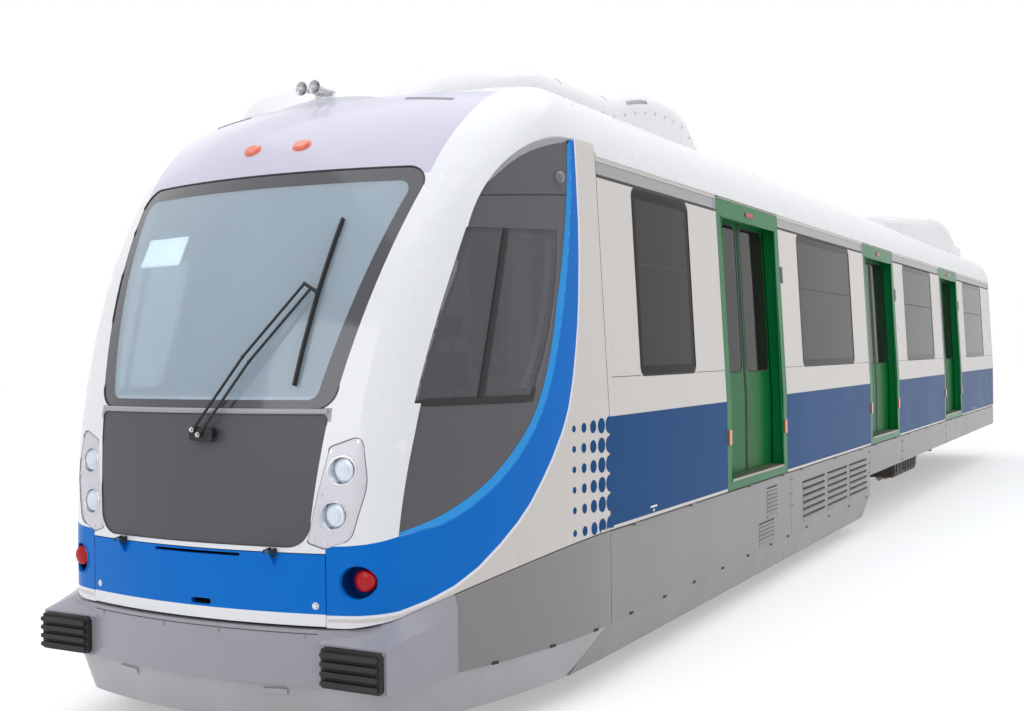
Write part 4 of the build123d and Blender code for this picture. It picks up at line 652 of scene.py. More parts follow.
class SkinCutter:
    """Copy of a CAD node's mesh, with the borders of its paint cut into its faces."""

    def __init__(self, node: str) -> None:
        """Copies and merges the node's mesh, and keeps its own shading."""
        self.node = node
        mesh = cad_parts[node].data
        self.spots = [v.co.copy() for v in mesh.vertices]
        self.faces = [tuple(p.vertices) for p in mesh.polygons]
        self.corners = [tuple(p.loop_indices) for p in mesh.polygons]
        self.shading = [Vector(c.vector) for c in mesh.corner_normals]
        self.tree = BVHTree.FromPolygons(self.spots, self.faces)
        self.work = bmesh.new()
        self.work.from_mesh(mesh)
        bmesh.ops.remove_doubles(self.work, verts=self.work.verts, dist=1e-5)

    def cut(self, line: Sequence[Pair], axis: str, keep: Callable[[Vector], bool] = lambda c: True,
            closed: bool = False) -> "SkinCutter":
        """Cuts the faces along a line that is seen along an axis.

        Args:
            line: Points of the line, (distance, height) along Y or (Y, height) along X.
            axis: Y for a side view, X for a front view.
            keep: Which faces may be cut, by their middle.
            closed: Whether the line is closed.

        Returns:
            This cutter.
        """
        def flat(p: Vector) -> Pair:
            return (CAR.nose_x - p.x, p.z - RAIL) if axis == "Y" else (p.y, p.z - RAIL)

        ends = list(line) + ([line[0]] if closed else [])
        low = [min(p[k] for p in ends) for k in (0, 1)]
        high = [max(p[k] for p in ends) for k in (0, 1)]
        near = set()
        for f in self.work.faces:
            flats = [flat(v.co) for v in f.verts]
            if (max(p[0] for p in flats) > low[0] and min(p[0] for p in flats) < high[0]
                    and max(p[1] for p in flats) > low[1] and min(p[1] for p in flats) < high[1]
                    and keep(f.calc_center_median())):
                near.add(f)
        for a, b in zip(ends, ends[1:]):
            run = (b[0] - a[0], b[1] - a[1])
            if math.hypot(*run) < 1e-6:
                continue
            if axis == "Y":
                spot, normal = CAR.at(a[0], 0, a[1]), Vector((run[1], 0, run[0]))
            else:
                spot, normal = CAR.at(0, a[0], a[1]), Vector((0, run[1], -run[0]))
            part = []
            for f in near:
                flats = [flat(v.co) for v in f.verts]
                if (max(p[0] for p in flats) >= min(a[0], b[0]) and min(p[0] for p in flats) <= max(a[0], b[0])
                        and max(p[1] for p in flats) >= min(a[1], b[1])
                        and min(p[1] for p in flats) <= max(a[1], b[1])):
                    part.append(f)
            if not part:
                continue
            edges = {e for f in part for e in f.edges}
            verts = {v for f in part for v in f.verts}
            done = bmesh.ops.bisect_plane(self.work, geom=part + list(edges) + list(verts), dist=1e-6,
                                          plane_co=spot, plane_no=normal.normalized())
            near = {f for f in near if f.is_valid} | {g for g in done["geom"] if isinstance(g, bmesh.types.BMFace)}
        return self

    def build(self, name: str, finishes: Sequence[Finish], rule: Callable[[Vector, Vector], int],
              body: str = "car_body") -> bpy.types.Object:
        """Makes the piece that stands for the node.

        Args:
            name: Name of the piece.
            finishes: Its finishes.
            rule: Gives a face's finish by its middle and normal.
            body: The body it rides on.

        Returns:
            The object.
        """
        self.work.normal_update()
        for f in self.work.faces:
            f.material_index = rule(f.calc_center_median(), f.normal)
            f.smooth = True
        mesh = bpy.data.meshes.new(name)
        self.work.to_mesh(mesh)
        self.work.free()
        shading = [Vector((0, 0, 1))] * len(mesh.loops)
        for p in mesh.polygons:
            _, normal, k, _ = self.tree.find_nearest(p.center)
            if k is None or normal.dot(p.normal) < 0.5:
                for j in p.loop_indices:
                    shading[j] = p.normal.copy()
                continue
            a, b, c = (self.spots[v] for v in self.faces[k][:3])
            na, nb, nc = (self.shading[v] for v in self.corners[k][:3])
            for j in p.loop_indices:
                spot = mesh.vertices[mesh.loops[j].vertex_index].co
                turned = barycentric_transform(spot, a, b, c, na, nb, nc)
                good = turned.length > 0.3 and turned.length < 3.0
                shading[j] = turned.normalized() if good else p.normal.copy()
        obj = place_piece(name, mesh, finishes, body, [self.node])
        mesh.normals_split_custom_set(shading)
        return obj


class Fastener(Enum):
    """Small shapes that are repeated."""

    SCREW = "screw"
    BOLT = "bolt"
    BLOCK = "block"


@dataclass
class Repeater:
    """Geometry Nodes tree that sets a small shape on each of many points."""

    kind: Fastener
    tree: bpy.types.NodeTree = field(init=False)
    sockets: dict[str, str] = field(init=False)

    def __post_init__(self) -> None:
        """Builds the tree, which ends in Realize Instances and Set Material."""
        self.tree = tree = bpy.data.node_groups.new(f"set_{self.kind.value}", "GeometryNodeTree")
        face = tree.interface
        face.new_socket("Geometry", in_out="INPUT", socket_type="NodeSocketGeometry")
        self.sockets = {}
        for label, kind in (("Size", "Vector"), ("Finish", "Material"), ("Seed", "Int")):
            self.sockets[label] = face.new_socket(label, in_out="INPUT", socket_type=f"NodeSocket{kind}").identifier
        face.new_socket("Geometry", in_out="OUTPUT", socket_type="NodeSocketGeometry")
        start, end = add_node(tree, "NodeGroupInput"), add_node(tree, "NodeGroupOutput")
        facing, along = (add_node(tree, "GeometryNodeInputNamedAttribute", {"Name": label},
                                  data_type="FLOAT_VECTOR").outputs["Attribute"] for label in ("facing", "along"))
        upright = add_node(tree, "FunctionNodeAlignRotationToVector", {"Vector": facing}, axis="Z")
        turn = add_node(tree, "FunctionNodeAlignRotationToVector", {"Rotation": upright.outputs["Rotation"],
                                                                    "Vector": along}, axis="X", pivot_axis="Z")
        rotation = turn.outputs["Rotation"]
        if self.kind is not Fastener.BLOCK:
            chance = add_node(tree, "FunctionNodeRandomValue", {3: math.tau, "Seed": start.outputs["Seed"]})
            spin = add_node(tree, "FunctionNodeAxisAngleToRotation", {"Angle": chance.outputs[1]})
            rotation = add_node(tree, "FunctionNodeRotateRotation", {"Rotation": rotation,
                                                                     "Rotate By": spin.outputs[0]},
                                rotation_space="LOCAL").outputs[0]
        scatter = add_node(tree, "GeometryNodeInstanceOnPoints", {"Points": start.outputs["Geometry"],
                                                                  "Instance": self._form(start.outputs["Size"]),
                                                                  "Rotation": rotation})
        real = add_node(tree, "GeometryNodeRealizeInstances", {0: scatter.outputs[0]})
        dress = add_node(tree, "GeometryNodeSetMaterial", {"Geometry": real.outputs[0],
                                                           "Material": start.outputs["Finish"]})
        feed(end, {0: dress.outputs[0]})

    def _form(self, size: bpy.types.NodeSocket) -> bpy.types.NodeSocket:
        """The shape itself: a block, or a head on its washer."""
        if self.kind is Fastener.BLOCK:
            return add_node(self.tree, "GeometryNodeMeshCube", {"Size": size}).outputs["Mesh"]
        split = add_node(self.tree, "ShaderNodeSeparateXYZ", {0: size})
        radius, height = split.outputs["X"], split.outputs["Z"]
        sides, taper = (6, 0.9) if self.kind is Fastener.BOLT else (12, 0.72)

        def share(socket: bpy.types.NodeSocket, part: float) -> bpy.types.NodeSocket:
            """A part of a size."""
            return add_node(self.tree, "ShaderNodeMath", {0: socket, 1: part}, operation="MULTIPLY").outputs[0]

        head = add_node(self.tree, "GeometryNodeMeshCone", {"Vertices": sides, "Radius Top": share(radius, taper),
                                                            "Radius Bottom": radius, "Depth": height})
        washer = add_node(self.tree, "GeometryNodeMeshCylinder", {"Vertices": 14, "Radius": share(radius, 1.35),
                                                                  "Depth": share(height, 0.25)})
        join = add_node(self.tree, "GeometryNodeJoinGeometry", {0: washer.outputs["Mesh"]})
        feed(join, {0: head.outputs["Mesh"]})
        return join.outputs[0]

    def scatter(self, name: str, spots: Sequence[tuple[Vector, Vector, Vector]], size: tuple[float, float, float],
                finish: Finish, body: str = "car_body") -> Optional[bpy.types.Object]:
        """Sets the shape on each spot.

        Args:
            name: Name of the piece.
            spots: Place, outward direction and direction along, for each.
            size: Radius or size in X, size in Y, height.
            finish: The finish.
            body: The body they ride on.

        Returns:
            The piece, one plain mesh.
        """
        if not spots:
            return None
        points = bpy.data.meshes.new(name + "_points")
        points.from_pydata([p for p, _, _ in spots], [], [])
        for label, column in (("facing", 1), ("along", 2)):
            layer = points.attributes.new(label, "FLOAT_VECTOR", "POINT")
            layer.data.foreach_set("vector", [c for spot in spots for c in spot[column]])
        holder = bpy.data.objects.new(name + "_points", points)
        bpy.context.scene.collection.objects.link(holder)
        modifier = holder.modifiers.new("repeat", "NODES")
        modifier.node_group = self.tree
        modifier[self.sockets["Size"]] = size
        modifier[self.sockets["Finish"]] = PAINTS.material(finish)
        modifier[self.sockets["Seed"]] = 7
        graph = bpy.context.evaluated_depsgraph_get()
        mesh = bpy.data.meshes.new_from_object(holder.evaluated_get(graph))
        mesh.name = name
        for label in ("facing", "along"):
            if label in mesh.attributes:
                mesh.attributes.remove(mesh.attributes[label])
        holder.modifiers.clear()
        bpy.data.objects.remove(holder)
        bpy.data.meshes.remove(points)
        return place_piece(name, mesh, [finish], body)


SCREWS = Repeater(Fastener.SCREW)
BOLTS = Repeater(Fastener.BOLT)
BLOCKS = Repeater(Fastener.BLOCK)
BEAD: tuple[Pair, ...] = ((-0.5, -0.4), (0.5, -0.4), (0.5, 0.35), (0.25, 0.7), (-0.25, 0.7), (-0.5, 0.35))


def bead(width: float, height: float) -> list[Pair]:
    """Profile of a low rounded strip."""
    return [(a * width, b * height) for a, b in BEAD]


def dress_node(node: str, finish: Finish) -> None:
    """Gives a CAD node its finish."""
    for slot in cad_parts[node].material_slots:
        slot.material = PAINTS.material(finish)


def face_sideways(obj: bpy.types.Object) -> None:
    """Turns the faces of an open piece away from the car's middle plane."""
    work = bmesh.new()
    work.from_mesh(obj.data)
    bmesh.ops.reverse_faces(work, faces=[f for f in work.faces if f.normal.y * f.calc_center_median().y < 0])
    work.to_mesh(obj.data)
    work.free()


# Nose
@dataclass
class NoseLivery:
    """Painted nose: forehead, swoosh, dark side panels, bevels and dots."""

    band_top: float = 0.978
    strip_top: float = 0.690
    forehead_half: float = 0.972
    forehead_foot: float = 2.86
    forehead_top: float = 3.40
    lamp_cup: tuple[float, float, float] = (0.910, 0.845, 0.089)
    shoulder: tuple[Pair, ...] = ((-0.30, 0.978), (0.0, 0.984), (0.07, 1.015))
    outer: tuple[Pair, ...] = ((-0.30, 0.680), (-0.01, 0.682), (0.25, 0.698), (0.40, 0.730), (0.55, 0.780),
                               (0.70, 0.855), (0.84, 0.950), (0.97, 1.045), (1.08, 1.145), (1.18, 1.255),
                               (1.26, 1.355), (1.35, 1.480), (1.43, 1.620), (1.49, 1.770), (1.54, 1.940),
                               (1.58, 2.100), (1.61, 2.280), (1.635, 2.470), (1.65, 2.670), (1.655, 2.900),
                               (1.655, 3.140))
    line_width: float = 0.016
    dots: tuple[Pair, ...] = ((1.480, 0.019), (1.590, 0.028), (1.700, 0.037), (1.802, 0.045), (1.905, 0.050))
    dark_rear: tuple[Pair, ...] = ((0.262, 1.078), (0.36, 1.103), (0.47, 1.140), (0.59, 1.190), (0.71, 1.250),
                                   (0.82, 1.320), (0.92, 1.400), (1.03, 1.500), (1.13, 1.610), (1.21, 1.740),
                                   (1.28, 1.890), (1.335, 2.045), (1.38, 2.210), (1.45, 2.410), (1.51, 2.620),
                                   (1.545, 2.790), (1.572, 2.950), (1.585, 3.080))
    crest: tuple[Pair, ...] = ((0.870, 2.800), (0.955, 2.862), (1.040, 2.922), (1.130, 2.972), (1.230, 3.016),
                               (1.340, 3.052), (1.450, 3.081), (1.545, 3.101), (1.620, 3.124))

    def recess(self) -> list[Pair]:
        """Outline of the sunk field on the cab side."""
        return [*arc((0.250, 1.055), (0.372, 1.660), (0.650, 2.350)),
                *arc((0.650, 2.350), (0.850, 2.790), (1.180, 3.035))[1:],
                *arc((1.180, 3.035), (1.390, 3.105), (1.620, 3.130))[1:],
                *arc((1.620, 3.130), (1.525, 2.500), (1.325, 1.870))[1:],
                *arc((1.325, 1.870), (0.985, 1.385), (0.480, 1.090))[1:]]

    @staticmethod
    def _beside(line: Sequence[Pair], width: float) -> list[Pair]:
        """The same line, moved to its right by a width."""
        moved = []
        for k, (s, h) in enumerate(line):
            a, b = line[max(0, k - 1)], line[min(len(line) - 1, k + 1)]
            run = math.dist(a, b)
            moved.append((s + (b[1] - a[1]) / run * width, h - (b[0] - a[0]) / run * width))
        return moved

    def build(self) -> None:
        """Cuts and paints the mask, then adds the bevels."""
        skin = SkinCutter("cab_mask")
        recess = self.recess()
        blue = [*self.outer, (1.620, 3.130), *arc((1.620, 3.130), (1.525, 2.500), (1.325, 1.870))[1:],
                *arc((1.325, 1.870), (0.985, 1.385), (0.480, 1.090))[1:], (0.250, 1.055),
                *reversed(self.shoulder)]
        rim = self._beside(self.outer, self.line_width)
        trim = [*rim, *reversed(self.outer)]
        beyond = [*rim, (2.10, rim[-1][1]), (2.10, 0.50), (-0.30, 0.50)]
        side = lambda c: abs(c.y) > 0.76
        for line in (self.outer, rim, recess, [rim[-1], (2.05, rim[-1][1])], [*self.shoulder, (0.250, 1.055)]):
            skin.cut(line, "Y", side)
        for h in (self.band_top, self.strip_top):
            skin.cut([(-0.80, h), (0.80, h)], "X", lambda c: CAR.nose_x - c.x < 0.4)
        forehead = [(0.90, self.forehead_foot), (self.forehead_half, self.forehead_foot),
                    (self.forehead_half + 0.035, 3.20), (self.forehead_half + 0.035, self.forehead_top)]
        front = lambda c: CAR.nose_x - c.x < 1.5 and c.z > 2.2
        for sign in SIDES:
            skin.cut([(sign * y, h) for y, h in forehead], "X", front)
        skin.cut([(-1.1, self.forehead_top), (1.1, self.forehead_top)], "X", front)
        skin.cut([(-0.76, 1.672), (0.76, 1.672)], "X", lambda c: CAR.nose_x - c.x < 0.3)
        for sign in SIDES:
            skin.cut([(sign * 0.76, 1.60), (sign * 0.76, 1.672)], "X", lambda c: CAR.nose_x - c.x < 0.3)

        def rule(c: Vector, n: Vector) -> int:
            """Finish of a face: white, blue, white darkened as painted shade on the cab side, side panel, lilac,
            lining, blue darkened as painted shade in the lamp cup, grey or black.
            """
            s, y, h = CAR.nose_x - c.x, abs(c.y), c.z - RAIL
            cup_y, cup_h, cup_r = self.lamp_cup
            # Faces in the tail lamp recess take the blue darkened as painted shade.
            if s < 0.2 and math.hypot(y - cup_y, h - cup_h) < cup_r and (s > 0.125 or n.x < 0.5):
                return 6
            if n.x * 0.5 + abs(n.y) + max(0.0, n.z) < 0.3 and s > 0.3:
                return 5
            if y > 0.76 and inside((s, h), recess) and abs(n.y) > 0.3:
                return 3
            if y > 0.76 and inside((s, h), blue):
                return 1
            if 0.44 < y < 0.54 and h < self.band_top + 0.03 and s < 0.0:
                return 8
            if y <= 0.78 and h < self.band_top and s < 0.4:
                return 1 if h > self.strip_top else 0
            if y > 0.76 and inside((s, h), trim):
                return 0
            if self.forehead_foot < h < self.forehead_top and s < 1.5 and n.x > 0.1 \
                    and y < self.forehead_half + min(0.035, (h - self.forehead_foot) * 0.103):
                return 4
            if y < 0.76 and 1.60 < h < 1.672 and s < 0.3:
                return 7
            # White on the cab side behind the swoosh is darkened as painted shade.
            return 2 if y > 0.76 and inside((s, h), beyond) else 0

        skin.build("mask_shell", [WHITE, NOSE_BLUE, SHADED_SIDE_WHITE, SIDE_PANEL, LILAC, CAB_GREY, CUP_SHADE_BLUE, GREY,
                                  BLACK], rule)
        self._bevels()
        self._dots()

    def _bevels(self) -> None:
        """Sloping strips between the skin and the sunk field: blue lightened as a painted highlight behind, white paint
        greyed as painted shade in front.
        """
        probe, count = SkinProbe("cab_mask"), 46
        rear = [*arc((1.625, 3.135), (1.530, 2.500), (1.330, 1.868)),
                *arc((1.330, 1.868), (0.988, 1.380), (0.480, 1.084))[1:], (0.256, 1.049)]
        dark = [(a * 0.72 + c * 0.28, b * 0.72 + d * 0.28)
                for (a, b), (c, d) in zip(even(list(reversed(self.dark_rear)), count), even(rear, count))]
        brow = [(0.870, 2.800), *arc((0.900, 2.845), (1.178, 3.038), (1.618, 3.135))]
        for name, outer, inner, finish in (("bevel_blue_highlight", rear, dark, LIT_BEVEL_BLUE),
                                           ("bevel_in_shade", brow, list(self.crest), GREY_TRIM_AND_BEVEL_SHADE)):
            shape = Shape()
            for side in SIDES:
                high, _ = probe.side_line(even(outer, count), side, 0.0008)
                low, _ = probe.side_line(even(inner, count), side, 0.0012)
                middle = [a * 0.45 + b * 0.55 + Vector((0, side * 0.0012, 0)) for a, b in zip(high, low)]
                shape.strip(high, middle).strip(middle, low)
            face_sideways(shape.build(name, finish, angle=60))

    def _dots(self) -> None:
        """Rows of dots that grow towards the blue band."""
        probe = SkinProbe("cab_mask", "side_wall_left", "side_wall_right")
        shape, lift = Shape(), 0.0009
        for side in SIDES:
            for s, radius in self.dots:
                for row in range(6):
                    h = 0.925 + row * 0.113 + (0.013 if row else 0.0)
                    rings = [probe.side_line(oval(s, h, k * radius, k * radius, 20), side, lift)[0]
                             for k in (0.5, 1.0)]
                    shape.fan(probe.side(s, h, side, lift)[0], rings)
        # The dots take the band's blue with its painted shade.
        face_sideways(shape.build("band_dots", SHADED_BAND_BLUE))


@dataclass
class NoseFittings:
    """Front glass, lamps, hatch, bumper, buffers and apron, with their seals and fixings."""

    glass: tuple[tuple[float, float, float], ...] = ((0.910, 2.820, 0.06), (0.670, 1.710, 0.06),
                                                     (-0.670, 1.710, 0.06), (-0.910, 2.820, 0.06))
    screen: tuple[tuple[float, float, float], ...] = ((0.985, 2.900, 0.11), (0.760, 1.665, 0.11),
                                                      (-0.760, 1.665, 0.11), (-0.985, 2.900, 0.11))
    panel: tuple[tuple[float, float, float], ...] = ((0.745, 1.640, 0.03), (0.672, 1.005, 0.12),
                                                     (-0.672, 1.005, 0.12), (-0.745, 1.640, 0.03))
    bezel: tuple[tuple[float, float, float], ...] = ((0.765, 1.488, 0.025), (0.922, 1.545, 0.04), (0.958, 1.310, 0.3),
                                                     (0.890, 1.050, 0.07), (0.760, 1.000, 0.06),
                                                     (0.668, 1.030, 0.015))
    lamps: tuple[Pair, ...] = ((0.830, 1.375), (0.797, 1.160))
    lamp_radius: float = 0.063
    bezel_screws: tuple[Pair, ...] = ((0.775, 1.465), (0.905, 1.515), (0.936, 1.30), (0.876, 1.085), (0.765, 1.03),
                                      (0.70, 1.045), (0.735, 1.26))
    bumper_bolts: tuple[Pair, ...] = ((0.765, 0.36), (0.765, 0.54), (1.105, 0.36), (1.105, 0.54), (0.18, 0.585),
                                      (0.66, 0.585))
    sill: tuple[tuple[float, Optional[float], float], ...] = (
        (0.765, None, 0.627), (0.810, None, 0.627), (0.850, None, 0.627), (0.880, None, 0.629), (0.920, None, 0.634),
        (0.960, None, 0.641), (0.0, 0.175, 0.650), (0.0, 0.210, 0.657), (0.0, 0.245, 0.664), (0.0, 0.280, 0.671))
    ledge: tuple[tuple[tuple[float, float, float], tuple[float, float, float], float], ...] = (
        ((0.036, 0.745, 0.557), (0.056, 0.745, 0.6165), 0.548), ((0.036, 0.850, 0.557), (0.088, 0.850, 0.620), 0.548),
        ((0.036, 0.940, 0.557), (0.122, 0.915, 0.624), 0.548), ((0.036, 1.020, 0.557), (0.150, 0.955, 0.630), 0.548),
        ((0.036, 1.085, 0.557), (0.170, 0.985, 0.638), 0.548), ((0.039, 1.121, 0.556), (0.185, 1.000, 0.644), 0.548),
        ((0.040, 1.1215, 0.556), (0.186, 1.001, 0.644), 0.3465), ((0.100, 1.1275, 0.567),
        (0.215, 1.025, 0.652), 0.3465),
        ((0.170, 1.136, 0.580), (0.250, 1.048, 0.662), 0.3465), ((0.260, 1.1475, 0.594), (0.310, 1.078, 0.678), 0.3465),
        ((0.340, 1.159, 0.605), (0.370, 1.106, 0.693), 0.3465), ((0.420, 1.171, 0.614), (0.440, 1.136, 0.711), 0.3465),
        ((0.490, 1.184, 0.624), (0.500, 1.162, 0.725), 0.3465), ((0.5535, 1.1995, 0.660),
        (0.5535, 1.184, 0.736), 0.3465))
    valance: tuple[tuple[tuple[float, float, float], ...], ...] = (
        ((1.862, 1.416, 0.345), (1.965, 1.417, 0.345)), ((1.796, 1.402, 0.300), (1.965, 1.403, 0.300)),
        ((1.750, 1.389, 0.270), (1.965, 1.394, 0.270)), ((1.703, 1.378, 0.240), (1.965, 1.384, 0.240)),
        ((1.657, 1.366, 0.210), (1.965, 1.374, 0.210)), ((1.610, 1.353, 0.180), (1.965, 1.364, 0.180)),
        ((1.548, 1.341, 0.140), (1.965, 1.351, 0.140)), ((1.520, 1.335, 0.122), (1.965, 1.346, 0.122)))

    def build(self) -> None:
        """Builds every fitting of the nose."""
        self.probe = SkinProbe("cab_mask", "windscreen", "nose_panel", "front_hatch", "headlamps")
        self._sill()
        self._ledge()
        self._windscreen()
        self._headlamps()
        self._signals()
        self._hatch()
        self._lower()
        self._wiper()

    def _windscreen(self) -> None:
        """Windscreen with its printed border, seal and the bar below it."""
        inner = rounded(self.glass, 6)
        skin = SkinCutter("windscreen").cut(inner, "X", closed=True)
        # The clear part of the pane takes the glass whose pale colour is a painted reflection.
        skin.build("windscreen_pane", [FRIT, SCREEN_PAINTED_SKY], lambda c, n: int(inside((c.y, c.z - RAIL), inner)))
        for name, corners, width in (("windscreen_seal", self.screen, 0.008), ("panel_seal", self.panel, 0.003)):
            path, normals = self._dense(rounded(corners, 8), 0.12)
            Shape().sweep(path, normals, bead(width, 0.004), loop=True).build(name, SEALANT_AND_SHADOW)
        line = [(y / 20 * 0.74, 1.655) for y in range(-20, 21)]
        path, normals = self.probe.front_line(line)
        profile = [(-0.013, -0.004), (0.013, -0.004), (0.013, 0.004), (0.006, 0.010), (-0.006, 0.010), (-0.013, 0.004)]
        Shape().sweep(path, normals, profile).build("screen_foot_bar", GREY_TRIM_AND_BEVEL_SHADE)
        dress_node("nose_panel", PANEL)
        # The blank card behind the glass glows as painted light.
        spots = [self.probe.front(y, h, -0.022)[0] for y, h in ((-0.75, 2.43), (-0.40, 2.43), (-0.40, 2.59),
                                                                (-0.75, 2.59))]
        Shape().plate(spots, AHEAD, 0.002).build("self_lit_blank_card", GLOWING_CARD)

    def _dense(self, outline: Sequence[Pair], step: float) -> tuple[list[Vector], list[Vector]]:
        """Points on the front along a closed outline, close enough to follow its curve."""
        line: list[Pair] = []
        for a, b in zip(outline, [*outline[1:], outline[0]]):
            count = max(1, int(math.dist(a, b) / step))
            line.extend((a[0] + (b[0] - a[0]) * k / count, a[1] + (b[1] - a[1]) * k / count) for k in range(count))
        return self.probe.front_line(line)

    def _headlamps(self) -> None:
        """Bezels with their cups, rings, clear covers and screws."""
        def rule(c: Vector, n: Vector) -> int:
            """Whether a face belongs to a lamp's cup."""
            near = min(math.hypot(abs(c.y) - y, c.z - RAIL - h) for y, h in self.lamps)
            return 1 if near < self.lamp_radius + 0.0012 else 0

        SkinCutter("headlamps").build("headlamp_bezels", [BEZEL, REFLECTOR], rule)
        rings, covers, outline, spots = Shape(), Shape(), Shape(), []
        ring = self.lamp_radius + 0.006
        dome = [(-0.020, 0.0), (-0.020, 0.061), (-0.010, 0.061), (-0.004, 0.054), (0.001, 0.036), (0.003, 0.0)]
        for side in SIDES:
            for y, h in self.lamps:
                path, normals = self.probe.front_line([(side * a, b) for a, b in oval(y, h, ring, ring, 40)])
                rings.sweep(path, normals, bead(0.010, 0.005), loop=True)
                covers.lathe(sum(path, Vector()) / len(path), AHEAD, dome, 40)
            spots += [(*self.probe.front(side * y, h, 0.001), UP) for y, h in self.bezel_screws]
            path, normals = self._dense([(side * y, h) for y, h in rounded(self.bezel, 6)], 0.05)
            outline.sweep(path, normals, bead(0.0035, 0.002), loop=True)
        rings.build("lamp_rings", CHROME)
        covers.build("lamp_covers", LENS)
        SCREWS.scatter("bezel_screws", spots, (0.007, 0.007, 0.004), CHROME)
        outline.build("bezel_seals", SEALANT_AND_SHADOW)

    def _sill(self) -> None:
        """White lower edge of the painted nose, from the hatch round both corners."""
        shape, top, thick = Shape(), 0.674, 0.012
        for side in SIDES:
            rings = []
            for y, s, foot in self.sill:
                outer = self.probe.front(side * y, 0.672)[0] if s is None else self.probe.side(s, 0.69, side)[0]
                inner = outer - Vector((thick, side * thick, 0))
                rings.append([Vector((p.x, p.y, h + RAIL)) for p, h in ((outer, foot), (outer, top), (inner, top),
                                                                        (inner, foot))])
            shape.rings(rings)
        shape.build("nose_sill", WHITE, angle=50)

    def _ledge(self) -> None:
        """Sloping ledge of the bumper over the buffers and round to the skirt, and the skirt's fore ends."""
        shape, ends = Shape(), Shape()
        for side in SIDES:
            shape.rings([[CAR.at(s, side * y, foot), CAR.at(s, side * y, h), CAR.at(a, side * b, c),
                          CAR.at(a + 0.03, side * (b - 0.05), c), CAR.at(s + 0.05, side * (y - 0.10), foot)]
                         for (s, y, h), (a, b, c), foot in self.ledge])
            ends.rings([[CAR.at(s, side * (y + 0.0012), h) for s, y, h in row]
                        + [CAR.at(s, side * (y - 0.012), h) for s, y, h in reversed(row)] for row in self.valance])
        shape.build("bumper_ledge", GREY, angle=20)
        # The valance ends take the skirt grey darkened as painted shade.
        ends.build("valance_ends", SHADED_SKIRT_GREY, angle=40)

    def _signals(self) -> None:
        """Red tail lamps, orange markers and their rims."""
        SkinCutter("signal_lamps").build("signal_lenses", [RED, ORANGE], lambda c, n: int(c.z > 2.0))
        tails, lips, rims, domes = Shape(), Shape(), Shape(), Shape()
        lens = [(0.0, 0.0), (0.0, 0.053), (0.030, 0.053), (0.040, 0.049), (0.048, 0.036), (0.051, 0.018),
                (0.052, 0.0)]
        cup = 0.0895
        for side in SIDES:
            tails.lathe(CAR.at(0.170, side * 0.931, 0.851), AHEAD, lens, 36)
            edge = [(self.probe.front(side * (0.910 + cup * math.cos(a)), 0.845 + cup * math.sin(a))[0], a)
                    for a in turns(44)]
            lips.rings([[p + Vector((lift, side * (size - cup) * math.cos(a), (size - cup) * math.sin(a)))
                         for p, a in edge]
                        for size, lift in ((0.0885, 0.0015), (0.084, 0.0035), (0.080, 0.001), (0.0775, -0.008),
                                           (0.0775, -0.02))], caps=False)
            y, h = side * 0.17, 3.065
            path, normals = self.probe.front_line(oval(y, h, 0.056, 0.031, 36))
            rims.sweep(path, normals, bead(0.008, 0.006), loop=True)
            domes.fan(self.probe.front(y, h, 0.012)[0],
                      [self.probe.front_line(oval(y, h, k * 0.054, k * 0.029, 32), lift)[0]
                       for k, lift in ((0.35, 0.0115), (0.7, 0.009), (0.9, 0.005), (1.0, 0.001))])
        tails.build("tail_lenses", RED)
        lips.build("tail_lamp_lips", NOSE_BLUE, facing=AHEAD)
        rims.build("marker_rims", ORANGE)
        domes.build("marker_lenses", ORANGE, facing=AHEAD)

    def _hatch(self) -> None:
        """Blue hatch with its white strip, locks and hinge covers."""
        edge = 0.690
        skin = SkinCutter("front_hatch").cut([(-0.80, edge), (0.80, edge)], "X")
        skin.build("hatch_shell", [NOSE_BLUE, WHITE], lambda c, n: int(c.z - RAIL < edge), "hatch")
        locks = [(*self.probe.front(side * 0.71, 0.73, 0.001), UP) for side in SIDES]
        SCREWS.scatter("hatch_locks", locks, (0.013, 0.013, 0.006), CHROME, "hatch")
        covers = Shape()
        for side in SIDES:
            for y in (0.473, 0.507):
                covers.block(CAR.at(-0.002, side * y - 0.006, 0.955), CAR.at(-0.012, side * y + 0.006, 0.972))
        covers.build("hinge_straps", BLACK, "hatch", bevel=0.002)

    def _lower(self) -> None:
        """Bumper, buffers and apron with their bolts, seams and hinge plates."""
        for node, finish in (("bumper", GREY), ("buffers", BLACK), ("apron", PALE)):
            dress_node(node, finish)
        low = SkinProbe("bumper", "apron", "skirts_left", "skirts_right")
        bolts, plates = [], []
        for side in SIDES:
            bolts += [(*low.front(side * y, h, 0.001), UP) for y, h in self.bumper_bolts]
            plates.append((*low.front(side * 0.48, 0.305, 0.004), LEFT))
        BOLTS.scatter("bumper_bolts", bolts, (0.009, 0.009, 0.006), GREY)
        BLOCKS.scatter("apron_hinges", plates, (0.13, 0.030, 0.014), PALE)
        path, normals = low.front_line([(y / 24 * 0.73, 0.598) for y in range(-24, 25)], 0.0005)
        Shape().sweep(path, normals, bead(0.004, 0.002)).build("bumper_seam", SEALANT_AND_SHADOW)

    def _wiper(self) -> None:
        """Black wiper with nuts on its spindles and a washer pipe."""
        dress_node("wiper", BLACK)
        wiper = SkinProbe("wiper")
        nuts = [(*wiper.front(y, h, 0.0), UP) for y, h in ((0.060, 1.540), (0.018, 1.564))]
        BOLTS.scatter("wiper_nuts", nuts, (0.010, 0.010, 0.010), CHROME)
        loop = [(0.078, 1.538), (0.100, 1.514), (0.135, 1.508), (0.165, 1.522), (0.172, 1.548), (0.150, 1.562)]
        path = [self.probe.front(y, h, 0.012 + 0.02 * math.sin(math.pi * k / 5))[0] for k, (y, h) in enumerate(loop)]
        Shape().tube(path, 0.0045, 8).build("washer_pipe", BLACK, levels=1)


